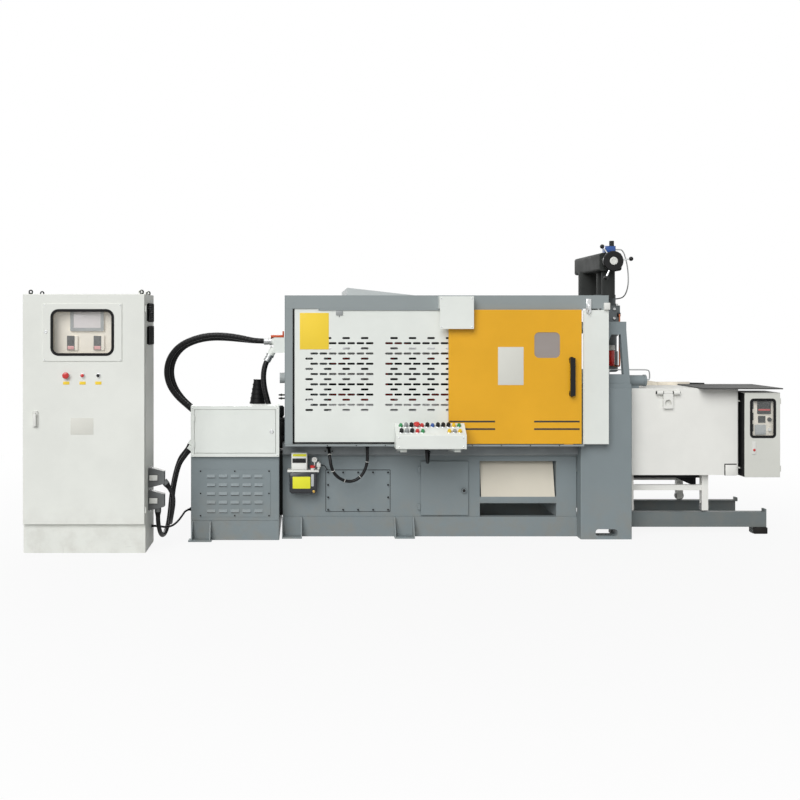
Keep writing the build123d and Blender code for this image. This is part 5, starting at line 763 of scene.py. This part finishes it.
DOOR_FACE = front(-720)
WINDOW_FACE = front(-726)
SCREEN_SIDE = front(-669.7)
METER_SIDE = front(-667.7)
Shape().ring(WINDOW_FACE, -2209, 1448, 416, 306, 18, -1, 3.5, 52, 1.6).piece(
    "cabinet_window_gasket", BLACK_RUBBER_AND_SHADE, "cabinet_door")
Shape().ring(SCREEN_SIDE, -2189, 1531, 222, 150, 22, -0.2, 3, 8).piece(
    "instrument_screen_bezel", GREY_PLASTIC, "cabinet_door")
Shape().plate(SCREEN_SIDE, -2189, 1531, 182, 110, -0.2, 1.2, 3).piece(
    "instrument_screen_glass", SCREEN_PALE, "cabinet_door")
meters = Shape()
meter_bands = Shape()
meter_windows = Shape()
for across in (-2296.5, -2121.5):
    meters.ring(METER_SIDE, across, 1378, 50, 95, 4, -0.2, 2.2, 3)
    meter_bands.plate(METER_SIDE, across, 1347, 42, 22, -0.2, 1.2, 1.5)
    meter_windows.plate(METER_SIDE, across, 1391, 42, 64, -0.2, 1.4, 1.5)
meters.piece("instrument_meter_rims", BLACK_PLASTIC, "cabinet_door")
meter_bands.piece("instrument_meter_bands", METER_PINK, "cabinet_door")
meter_windows.piece("instrument_meter_windows", BLACK_PLASTIC, "cabinet_door")

BUTTON_HEIGHT = 1167
STOP_X, LAMP_X, KEY_X = -2315, -2208, -2105
stop_button = Shape().turned(DOOR_FACE, STOP_X, BUTTON_HEIGHT, (
    (15, 8), (16, 9), (16, 13), (20, 14.5), (22, 17), (22, 20), (20.5, 22.5), (16, 24.2),
    (8, 25), (0, 25.1)), 36)
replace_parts(stop_button.piece("cabinet_stop_button", SIGNAL_RED, "cabinet_door"), "cabinet_door_controls")
Shape().turned(DOOR_FACE, LAMP_X, BUTTON_HEIGHT, (
    (11, 6), (12, 8), (12, 13), (10.5, 16), (6, 18.4), (0, 19)), 32).piece(
    "cabinet_lamp_lens", SIGNAL_RED, "cabinet_door")
collars = Shape()
for across, radius in ((STOP_X, 20.9), (LAMP_X, 15.2), (KEY_X, 14.7)):
    collars.turned(DOOR_FACE, across, BUTTON_HEIGHT, (
        (radius, 0), (radius, 3), (radius - 1.2, 4.6), (radius * 0.8, 4.8), (radius * 0.78, 9.5),
        (radius * 0.6, 10)), 36)
collars.piece("cabinet_button_collars", CHROME, "cabinet_door")
(Shape().turned(DOOR_FACE, KEY_X, BUTTON_HEIGHT, (
    (10.5, 5), (11, 8), (11, 12), (10, 14), (0, 14.1)), 32)
 .plate(DOOR_FACE, KEY_X, BUTTON_HEIGHT, 4, 15, 14, 18, 1.5)
 .piece("cabinet_key_switch", BLACK_PLASTIC, "cabinet_door"))
legends = Shape()
for across in (STOP_X, LAMP_X, KEY_X):
    legends.plate(DOOR_FACE, across, 1117, 41, 20, 0, 1.5, 2, 0.4)
legends.piece("cabinet_legend_plates", SIGN_YELLOW, "cabinet_door")
(Shape().plate(DOOR_FACE, -2517, 882, 36, 110, 0, 8, 10, 2)
 .ring(DOOR_FACE, -2517, 882, 34, 106, 4, 7.5, 10, 9)
 .plate(DOOR_FACE, -2517, 876, 20, 84, 9.5, 24, 8, 4)
 .turned(DOOR_FACE, -2517, 925, ((7, 8), (7, 12), (5.5, 13), (0, 13.1)), 24)
 .piece("cabinet_door_lever", WHITE_PLASTIC, "cabinet_door", slot="dark_plastic"))
Shape().turned(WINDOW_FACE, -2448, 1452, (
    (11, 0), (11, 2), (9.5, 3.4), (5, 3.5), (4.5, 2.2), (0, 2.2)), 28).piece(
    "cabinet_window_lock", CHROME, "cabinet_door")
Shape().plate(DOOR_FACE, -2212, 834, 149, 109, 0, 1, 3, 0.3).piece(
    "cabinet_plain_plate", PALE_PLATE, "cabinet_door")
screws("cabinet_window_door_screws", on_front(-726, grid_edge((-2457, -1961), (1270, 1626), 2, 2)),
       CHROME, 4.0, 2.2, 14, 0.5, "cabinet_door")

eyes = Shape()
for x in (-2563.5, -1831.5):
    for y in (-655, -358):
        eyes.turned(top(1700), x, y, ((14, 0), (14, 4), (10, 6), (8.5, 8.2), (0, 8.3)), 24)
        eyes.loop(front(y), x, 1715, 11, 4.6)
eyes.piece("cabinet_lifting_eyes", DARK_CAST)

vent_frames = Shape()
vent_slats = []
for row in range(2):
    height = 1580 - 153 * row
    vent_frames.plate(right(-1793.5), -506, height, 240.6, 125.6, -6, 0.6, 8, 1)
    vent_frames.ring(right(-1793.5), -506, height, 241, 126, 16, -8, 5, 8, 3)
    vent_slats += [(-1791, -506, height - 39 + 13 * slat) for slat in range(7)]
vent_frames.piece("cabinet_vent_frames", VENT_BLACK)
slats("cabinet_vent_slats", vent_slats, (7, 210, 2.4), (0, math.radians(38), 0), VENT_BLACK)
HOOD_TOPS = (541, 388)
latches = Shape()
for hood_top in HOOD_TOPS:
    for depth in (-584.5, -505.5):
        latches.block((-1792, -1738), (depth - 3.6, depth + 3.6), (hood_top - 82, hood_top - 46), 2.5)
latches.piece("connector_latches", WHITE_PLASTIC)
screws("connector_base_screws", [((-1797, y, hood_top - inset), RIGHTWARD) for hood_top in HOOD_TOPS
                                 for inset in (-6, 134) for y in (-565, -525)], CHROME, 4.5, 8, 12)

# Pump base and junction box

PANEL_FACE = front(-287)
screws("louvre_panel_screws", on_front(-287, grid_edge((-1480, -1004), (171, 480), 3, 3)),
       BLACK_PLASTIC, 5.5, 3.2, 14, 0.5)
# Painted shadow: thin black strips under each louvre stand in for the shadow under the louvre.
louvre_shadows = Shape()
for column in range(5):
    for row in range(5):
        across = -1242 + (column - 2) * 82.5
        height = 325.5 + (row - 2) * 60.5
        louvre_shadows.plate(PANEL_FACE, across, height - 12.2, 53, 4.4, 0, 0.5, 0.8, 0.2)
        louvre_shadows.block((across - 26, across + 26), (-294.6, -286.6), (height - 10.8, height - 9.8), 0.3)
louvre_shadows.piece("louvre_shadow_lips", BLACK_RUBBER_AND_SHADE)
(Shape().turned(front(-308), -985, 757, ((14, 0), (14, 3), (12, 5), (6.5, 5.2), (6, 3.6), (0, 3.6)), 28)
 .plate(front(-308), -985, 757, 4, 16, 3, 6.5, 1.8)
 .piece("junction_box_lock", CHROME, "junction_box_door"))
screws("junction_box_screws", on_front(-310, grid_edge((-1533, -945), (596, 921), 2, 2)),
       CHROME, 4.5, 2.6, 14)
(Shape().block((-1000, -912), (-46, 74), (1407.3, 1424), 3)
 .block((-916, -906), (-46, 74), (1407.3, 1452), 2)
 .piece("manifold_bracket", BRACKET_ORANGE))

# Partly painted shade: a dark plate fills the gap between pump base and bed, standing in for the shade there
# and for dark parts in it.
Shape().block((-933.5, -910.5), (-90, 500), (139, 574), 1).piece(
    "base_link_plate", DARK_CAST, slot="grey_paint")
(Shape().block((-988, -898), (60, 200), (598, 690), 3)
 .block((-982, -902), (66, 194), (690, 790), 4)
 .block((-988, -898), (60, 200), (790, 820), 3)
 .bar((-940, 130, 820), (-940, 130, 905), 34, 24)
 .piece("base_valve_stack", BLACK_PLASTIC))

# Bed

screws("bed_cover_screws", on_front(-161.5, grid_edge((-590, -166), (190, 454), 5, 4)),
       BLACK_PLASTIC, 6.5, 4.2, 14)
# Painted shadow: a thin black ring round the cover plate stands in for the shadow line at its edges.
Shape().ring(front(-144.9), -378, 322, 460, 298, 9, 0, 0.8, 4, 0.3).piece("bed_cover_gasket", BLACK_RUBBER_AND_SHADE)
screws("bed_loop_screws", on_front(-187, grid_edge((-611, -561), (607, 657), 2, 2)),
       BLACK_PLASTIC, 5.5, 5, 12)
(Shape().turned(front(-159.9), 369, 328, (
    (9, 0), (9, 8), (15, 11), (18.5, 14), (18.5, 18), (16.5, 21), (9, 22.4), (0, 22.5)), 32)
 .piece("access_door_knob", BLACK_PLASTIC, "bed_access_door"))
Shape().plate(front(-145), 757, 256, 541, 45.5, 0, 1.6, 2).piece("chute_lip_plate", MACHINE_GREY)
studs = Shape()
for height in (965, 990):
    studs.bar((-945, 20, height), (-894, 20, height), 5.5)
    studs.bar((-932, 20, height), (-918, 20, height), 9.5, 6)
studs.piece("cylinder_studs", DARK_CAST)

# Lubricator

LUBE_FRONT = front(-257)
TANK_FRONT = front(-247)
(Shape().block((-862, -670), (-247, -159), (322, 468), 9)
 .block((-852, -680), (-240, -166), (316, 330), 7)
 .piece("lubricator_tank", TANK_SMOKE))
Shape().plate(TANK_FRONT, -778, 394, 124, 83, 0, 1.6, 4).piece("lubricator_label", LIME_LABEL)
Shape().plate(TANK_FRONT, -701, 411, 20, 86, 0, 5, 6, 2).piece(
    "lubricator_level_glass", METER_FACE, slot="lubricator_plastic")
flange = Shape().block((-876.5, -655.5), (-257, -145), (468, 482), 3)
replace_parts(flange.piece("lubricator_flange", WHITE_PLASTIC), "lubricator")
(Shape().block((-849, -737), (-256, -199), (482, 604), 8)
 .plate(LUBE_FRONT, -793, 506, 96, 36, -1, 0.6, 3)
 .piece("lubricator_controller", WHITE_PLASTIC))
Shape().plate(LUBE_FRONT, -794, 549, 95, 31, -1, 0.4, 2).piece("lubricator_display", BLACK_PLASTIC)
Shape().plate(LUBE_FRONT, -791, 587, 96, 17, -1, 0.6, 2).piece(
    "lubricator_strip", LIME_LABEL, slot="yellow_paint")
(Shape().turned(front(-192), -687, 550, (
    (19, 0), (20, 1.5), (20, 20), (18.6, 22), (17, 22), (16.6, 20.5), (0, 20.4)), 36)
 .bar((-687, -203, 482), (-687, -203, 532), 6)
 .piece("lubricator_gauge", CHROME))
Shape().turned(front(-212.4), -687, 550, ((16.4, 0), (16.4, 0.4), (0, 0.5)), 32).piece(
    "lubricator_gauge_dial", WHITE_PLASTIC)
Shape().plate(front(-212.9), -684, 553, 14, 1.6, 0, 0.5, 0.6).piece("lubricator_gauge_needle", BLACK_PLASTIC)
Shape().turned(top(482), -700, -232, ((13, 0), (13, 15), (0, 15.2)), 24).piece(
    "lubricator_filler_neck", WHITE_PLASTIC)
Shape().turned(top(497), -700, -232, ((18, 0), (18, 15), (16, 17), (0, 17.2)), 20).piece(
    "lubricator_filler_cap", SIGNAL_RED)
Shape().turned(TANK_FRONT, -692, 332, ((9, 0), (9, 5), (7, 6), (7, 9), (0, 9.2)), 6).piece(
    "lubricator_drain_plug", BRASS)
(Shape().block((-672, -644), (-218, -190), (498, 526), 3)
 .turned(top(526), -658, -204, ((9, 0), (9, 8), (7, 9), (0, 9.2)), 6)
 .turned(below(498), -658, 204, ((10, 0), (10, 15.5), (0, 15.6)), 6)
 .piece("lubricator_outlet", WHITE_PLASTIC, slot="grey_metal"))
pipe("lubricator_feed_pipe", BLACK_PLASTIC, 6.4, (
    (-646, -204, 512), (-632, -204, 512), (-612, -204, 506), (-600, -190, 480), (-596, -170, 474),
    (-596, -146, 474)))

# Guard and sliding door

GUARD_FACE = front(-312)
SLIDE_FACE = front(-350)
Shape().plate(GUARD_FACE, -689, 1454, 201, 253, 0.2, 2, 3, 0.5).piece("guard_bare_plate", SIGN_YELLOW)
(Shape().block((-540, -492), (-319.6, -312), (1564, 1597), 2)
 .bar((-516, -315.8, 1568), (-516, -315.8, 1552), 3)
 .piece("door_limit_switch", GREY_PLASTIC))
(Shape().block((1190, 1225), (-336, -320), (1581, 1678), 3)
 .block((1197, 1218), (-352, -335), (1600, 1640), 4)
 .bar((1207, -344, 1600), (1207, -344, 1572), 5)
 .piece("door_latch", CHROME))
Shape().block((1312, 1353), (-345, -322), (1602, 1650), 3).piece("door_switch_box", WHITE_PLASTIC)
# Painted shade: black strips stand in for the shadow gap between the left post and the panel and for the
# shadow line under the panels.
(Shape().plate(GUARD_FACE, -832.5, 1142, 13, 932, 0, 2, 1, 0.4)
 .plate(GUARD_FACE, -280, 679, 1118, 12, 0, 2, 1, 0.4)
 .piece("guard_edge_seals", BLACK_RUBBER_AND_SHADE))
stripes = Shape()
for height in (831, 779):
    for x in ((240, 557), (826, 1140)):
        stripes.plate(SLIDE_FACE, (x[0] + x[1]) / 2, height, x[1] - x[0], 12, 0, 0.6, 1, 0.2)
stripes.piece("door_stripes", STRIPE_DARK, "safety_door")
Shape().plate(SLIDE_FACE, 665, 1214, 176, 262, 0, 1, 3, 0.3).piece(
    "door_plain_plate", PALE_PLATE, "safety_door")
grab_caps = Shape()
for height in (1022, 1258):
    grab_caps.turned(SLIDE_FACE, 1085, height, ((19, 0), (19, 4), (17, 6), (0, 6.2)), 28)
grab_caps.piece("door_grab_feet", BLACK_PLASTIC, "safety_door")
screws("cover_plate_screws", on_front(-400, grid_edge((182, 391), (1484, 1680), 2, 2)), CHROME, 5, 3, 14)
screws("rear_panel_screws", [((x, 752, z), BACKWARD) for x, z in grid_edge((-820, 1280), (692, 1590), 8, 5)],
       CHROME, 5, 3, 14)
# Painted shade: a black sheet inside the rear panels darkens the view through the slots, where the guard's
# inside lies in shade.
Shape().block((-832, 1291), (741, 749.2), (680, 1602), 2).piece("rear_panel_lining", BLACK_RUBBER_AND_SHADE)
screws("track_bolts", on_front(-352, [(x, 666) for x in range(-600, 1200, 200)]), DARK_CAST, 4, 3.4, 12)

# Operator console

SLOPE = Side((97, -460, 791), (1, 0, 0), (0, 120, 78))
KNOB = ((14, 0), (14, 4), (11.6, 5), (11.6, 9), (13.6, 10), (13.6, 21), (12, 23), (0, 23.1))
PUSH = ((14, 0), (14, 5), (12.8, 6.6), (11.6, 6.8), (11.6, 16.4), (10.4, 18), (0, 18.2))
STOP = ((14, 0), (14, 8), (18, 11), (22, 15), (22, 20), (19.4, 23.6), (12, 25), (0, 25.2))
UPPER = "GWKEROBKKKYG"
LOWER = "KWKRG....YLY"
COLOURS = {"G": SIGNAL_GREEN, "W": GREY_PLASTIC, "K": BLACK_PLASTIC, "E": SIGNAL_RED, "R": SIGNAL_RED,
           "O": BLACK_PLASTIC, "B": SIGNAL_BLUE, "Y": SIGNAL_YELLOW, "L": GREY_PLASTIC}
gathered = {}
bezels = Shape()
for row, height in ((UPPER, 31), (LOWER, -31)):
    for place, letter in enumerate(row):
        if letter == ".":
            continue
        across = (place - 5.5) * 36
        shape = gathered.setdefault(COLOURS[letter].name, (COLOURS[letter], Shape()))[1]
        profile = STOP if letter == "E" else KNOB if letter in "KWO" else PUSH
        shape.turned(SLOPE, across, height, profile)
        if profile is KNOB:
            shape.plate(SLOPE, across, height, 6.4, 24, 21, 26, 2)
        bezels.turned(SLOPE, across, height, ((17, -0.5), (17, 2.2), (16, 3), (13, 3.1)), 28)
console_pieces = []
for name, (finish, shape) in sorted(gathered.items()):
    console_pieces.append(shape.piece("console_" + name + "_knobs", finish))
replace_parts(console_pieces[0], "console_controls")
bezels.piece("console_bezels", CHROME)
screws("console_screws", on_front(-520, grid_edge((-120, 314), (674, 738), 2, 2)), CHROME, 4.5, 2.6, 14)

# Shot unit

pipe("valve_head_tube", TURNED_STEEL, 9, (
    (1504, 70, 2047), (1530, 70, 2047), (1566, 68, 2045), (1592, 62, 1960), (1605, 62, 1860),
    (1606, 74, 1770), (1594, 130, 1700), (1560, 196, 1690), (1536, 205, 1690), (1500, 205, 1690)))
Shape().turned(top(1150), 1475, 220, (
    (84, 0), (96, 6), (96, 150), (88, 156), (88, 262), (98, 268), (98, 280), (70, 284)), 48).piece(
    "shot_cylinder_jacket", SHOT_GREY)
pipe("carriage_pipe", TURNED_STEEL, 9, (
    (1420, -82, 1140), (1420, -82, 1158), (1420, -82, 1177), (1450, -82, 1177), (1600, -82, 1177),
    (1680, -82, 1177), (1708, -82, 1172), (1712, -82, 1140), (1710, -82, 1106), (1694, -82, 1105),
    (1680, -82, 1105)))
pipe("shot_copper_pipe", COPPER, 12, (
    (1553, 131, 1573), (1553, 121, 1573), (1553, 108, 1573), (1553, 108, 1558), (1553, 108, 1400),
    (1553, 108, 1214), (1553, 108, 1195), (1545, 116, 1195), (1513, 150, 1195), (1511, 164, 1195)))
(Shape().block((1540, 1566), (118, 131.2), (1558, 1588), 4)
 .turned(front(118), 1553, 1573, ((10, 0), (10, 7), (8, 8), (0, 8.1)), 6)
 .piece("shot_pipe_elbow", BLACK_PLASTIC))
Shape().bar((1525, 137, 1195), (1508, 166, 1195), 11, 6).piece("shot_pipe_fitting", BRASS)
Shape().turned(top(1310), 1497, 120, ((20, 0), (25, 3), (25, 32), (22, 38), (8, 40), (0, 40.1)), 32).piece(
    "oil_cup_cap", WHITE_PLASTIC)
Shape().turned(top(1195), 1497, 120, ((8, 0), (18, 4), (23, 14), (23, 112), (20, 115), (0, 115.1)), 32).piece(
    "oil_cup_bowl", SIGNAL_RED)
Shape().block((1486, 1508), (142, 164), (1318, 1340), 3).piece("oil_cup_bracket", CHROME)
screws("shot_block_bolts", [((x, y, 1640), UPWARD) for x in (1405, 1545) for y in (150, 290)]
       + on_front(131, grid_edge((1405, 1519), (1546, 1614), 2, 2)), BRIGHT_STEEL, 11, 12, 12, 0.6)
Shape().block((1426, 1504), (35.4, 106.6), (2020, 2071.8), 4).piece("lift_valve_body", SIGNAL_BLUE)
Shape().turned(front(-41), 1468, 1958, (
    (27, -5), (28.4, -3), (28.4, 0), (26, 2), (16, 3), (14, 1), (0, 1)), 40).piece(
    "handwheel_hub_cap", WHITE_PLASTIC, "handwheel")
WHEEL_CENTRE = Vector((1468, -20, 1958))
FIRST_SPOKE = 7
spokes = Shape()
for spoke in range(3):
    angle = math.radians(FIRST_SPOKE + spoke * 120)
    along = Vector((math.cos(angle), 0, math.sin(angle)))
    spokes.bar(WHEEL_CENTRE + along * 60, WHEEL_CENTRE + along * 120, 5.8)
spokes.piece("handwheel_spokes", CHROME, "handwheel")

# Furnace

BOX_FACE = front(-190)
BOX_PANEL = front(-160)
Shape().bar((1896, 335, 1058), (2017, 335, 1058), 6.6).piece(
    "lid_hook_rod", BLACK_PLASTIC, "furnace", slot="dark_cast")
# Painted shade: a black plate behind the corner bracket stands in for the shade in the gap there.
Shape().plate(front(-120), 2274, 468, 88, 84, 0, 0.8, 2, 0.2).piece(
    "furnace_corner_gap", BLACK_RUBBER_AND_SHADE, "furnace")
(Shape().block((2237, 2317), (-124, -119), (427, 502), 2)
 .piece("furnace_corner_bracket", FURNACE_WHITE, "furnace"))
# Painted shade: a black block and wedge under the furnace stand in for the shade beneath it.
(Shape().block((1606, 2095), (0, 440), (392, 429), 3)
 .prism(front(60), ((1880, 393), (1930, 393), (2095, 318), (2095, 393)), -40, 0)
 .piece("furnace_under_tray", BLACK_RUBBER_AND_SHADE, "furnace", slot="dark_cast"))
# Painted shade: a black sheet on the control box's left side stands in for the deep shade between furnace and
# box.
Shape().plate(left(2347.5), 62.5, 721, 235, 590, 0, 0.6, 2, 0.2).piece(
    "box_side_seal", BLACK_RUBBER_AND_SHADE, "furnace")
Shape().block((1899, 2140), (300, 326), (1045.2, 1069), 2).piece("lid_edge_board", LID_BOARD, "furnace")
Shape().bar((2017, 335, 1058), (2262, 335, 1054), 6.6).piece(
    "lid_hook_tip", BLACK_PLASTIC, "furnace", slot="dark_cast")
pins = Shape()
for x in ((1738, 1744), (1784, 1794), (1853, 1863), (1903, 1909)):
    pins.bar((x[0], -138, 1017), (x[1], -138, 1017), 11)
pins.piece("furnace_lug_pins", DARK_CAST, "furnace")
(Shape().ring(BOX_FACE, 2474.5, 839, 184, 279, 18, -2.5, 2.6, 26, 1.2)
 .piece("box_window_seal", BLACK_RUBBER_AND_SHADE, "furnace_box_door"))
Shape().plate(front(-186.8), 2474.5, 839, 166, 261, -1, 0.6, 12, 0.3).piece(
    "box_window_pane", SMOKED_PANE, "furnace_box_door")
Shape().plate(BOX_FACE, 2410, 631, 26, 90, 0, 6, 4, 2).piece(
    "box_lock_plate", WHITE_PLASTIC, "furnace_box_door", slot="white_paint")
Shape().turned(front(-196), 2410, 616, ((9, -0.5), (9, 3), (7, 4.4), (0, 4.6)), 24).piece(
    "box_lock_button", SIGNAL_RED, "furnace_box_door")
(Shape().plate(BOX_PANEL, 2474.5, 839, 196, 300, -3, 0, 4)
 .piece("box_instrument_plate", CREAM, "furnace"))
dark_meters = Shape()
dark_meters.plate(BOX_PANEL, 2493, 912, 94, 88, -0.5, 9, 4)
dark_meters.plate(BOX_PANEL, 2477, 830, 50, 47, -0.5, 7, 3)
dark_meters.turned(BOX_PANEL, 2532, 828, ((15, -0.5), (15, 3), (12, 4), (12, 14), (0, 14.2)), 28)
for height in (770, 850, 930):
    dark_meters.plate(BOX_PANEL, 2412, height, 14, 52, -0.5, 5, 2)
dark_meters.piece("box_dark_meters", BLACK_PLASTIC, "furnace")
Shape().plate(front(-169), 2493, 897, 84, 12, -0.4, 0.5, 1).piece("box_meter_band", METER_RED, "furnace")
Shape().plate(BOX_PANEL, 2467, 756, 77, 71, -0.5, 7, 3).piece("box_grey_meter", METER_FACE, "furnace")
Shape().turned(BOX_PANEL, 2532, 756, ((13, -0.5), (13, 3), (11, 4), (11, 14), (0, 14.2)), 28).piece(
    "box_white_knob", WHITE_PLASTIC, "furnace")
stays = Shape()
for across in (2390, 2559):
    for height in (703, 975):
        stays.bar((across, -157, height), (across, 57, height), 5, 12)
stays.piece("box_instrument_stays", CHROME, "furnace")
rail_foot = Shape()
for depth in (-29, 469):
    rail_foot.block((2462, 2559.6), (depth - 46, depth + 46), (0, 47), 5)
rail_foot.piece("rail_feet", BLACK_RUBBER_AND_SHADE)

# Floor, light and camera

FLOOR_REACH = 40.0
FLOOR_GREY = 0.5
FADE = {"low": 1.5, "high": 6.0, "start": 0.9, "end": 1.0}
WORLD_FILL = 0.18
SUN_POWER = 2.7
SUN_SOFTNESS = math.radians(45)
SUN_WAY = (0.35, 0.8, -0.55)


def pointing(made, way):
    made.rotation_euler = Vector(way).to_track_quat("-Z", "Y").to_euler()


def lamp(name, place, aim, size, power):
    light = bpy.data.lights.new(name, "AREA")
    light.shape = "RECTANGLE"
    light.size, light.size_y = size
    light.energy = power
    made = put(bpy.data.objects.new(name, light))
    made.location = place
    pointing(made, Vector(aim) - Vector(place))


floor_mesh = bpy.data.meshes.new("floor")
corners = [(x * FLOOR_REACH, y * FLOOR_REACH, 0) for x, y in ((-1, -1), (1, -1), (1, 1), (-1, 1))]
floor_mesh.from_pydata(corners, [], [(0, 1, 2, 3)])
floor = put(bpy.data.objects.new("floor", floor_mesh))
floor_finish = Finish("floor_white", Base_Color=(FLOOR_GREY, FLOOR_GREY, FLOOR_GREY, 1), Roughness=0.9,
                      Specular_IOR_Level=0.1)
wires = floor_finish.wires
glow = wires.add("ShaderNodeEmission", Color=(1, 1, 1, 1), Strength=1.0)
distance = wires.add("ShaderNodeVectorMath", {"operation": "LENGTH"}, Vector=wires.place()).outputs["Value"]
white = wires.add("ShaderNodeMixShader")
for number, value in enumerate((wires.sum("MULTIPLY", wires.seen(), wires.ramp(distance, **FADE)),
                                floor_finish.shader.outputs[0], glow.outputs[0])):
    wires.feed(white.inputs[number], value)
wires.feed(wires.tree.nodes["Material Output"].inputs["Surface"], white.outputs[0])
floor_mesh.materials.append(floor_finish.material)

world = bpy.data.worlds.new("studio")
bpy.context.scene.world = world
world.use_nodes = True
sky = Wiring(world.node_tree)
backdrop = world.node_tree.nodes["Background"]
backdrop.inputs["Color"].default_value = (1, 1, 1, 1)
sky.feed(backdrop.inputs["Strength"], sky.ramp(sky.seen(), 0.0, 1.0, WORLD_FILL, 1.0))

sun = bpy.data.lights.new("key_light", "SUN")
sun.energy = SUN_POWER
sun.angle = SUN_SOFTNESS
pointing(put(bpy.data.objects.new("key_light", sun)), SUN_WAY)
lamp("top_light", (-1.8, 1.0, 6.5), (0, 0.2, 0), (6.0, 4.0), 150)
lamp("back_light", (-3.2, 7.5, 4.5), (0, 0, 1.0), (6.0, 3.0), 300)

lens = bpy.data.cameras.new("camera")
lens.sensor_width = 36.0
lens.lens = 46.8
lens.shift_x = 0.119
lens.shift_y = -0.094
lens.clip_end = 200
camera = put(bpy.data.objects.new("camera", lens))
camera.location = (-0.755, -7.52, 1.498)
camera.rotation_euler = (math.radians(90), 0, 0)
bpy.context.scene.camera = camera
bpy.context.scene.view_settings.view_transform = "Standard"

bpy.context.view_layer.update()
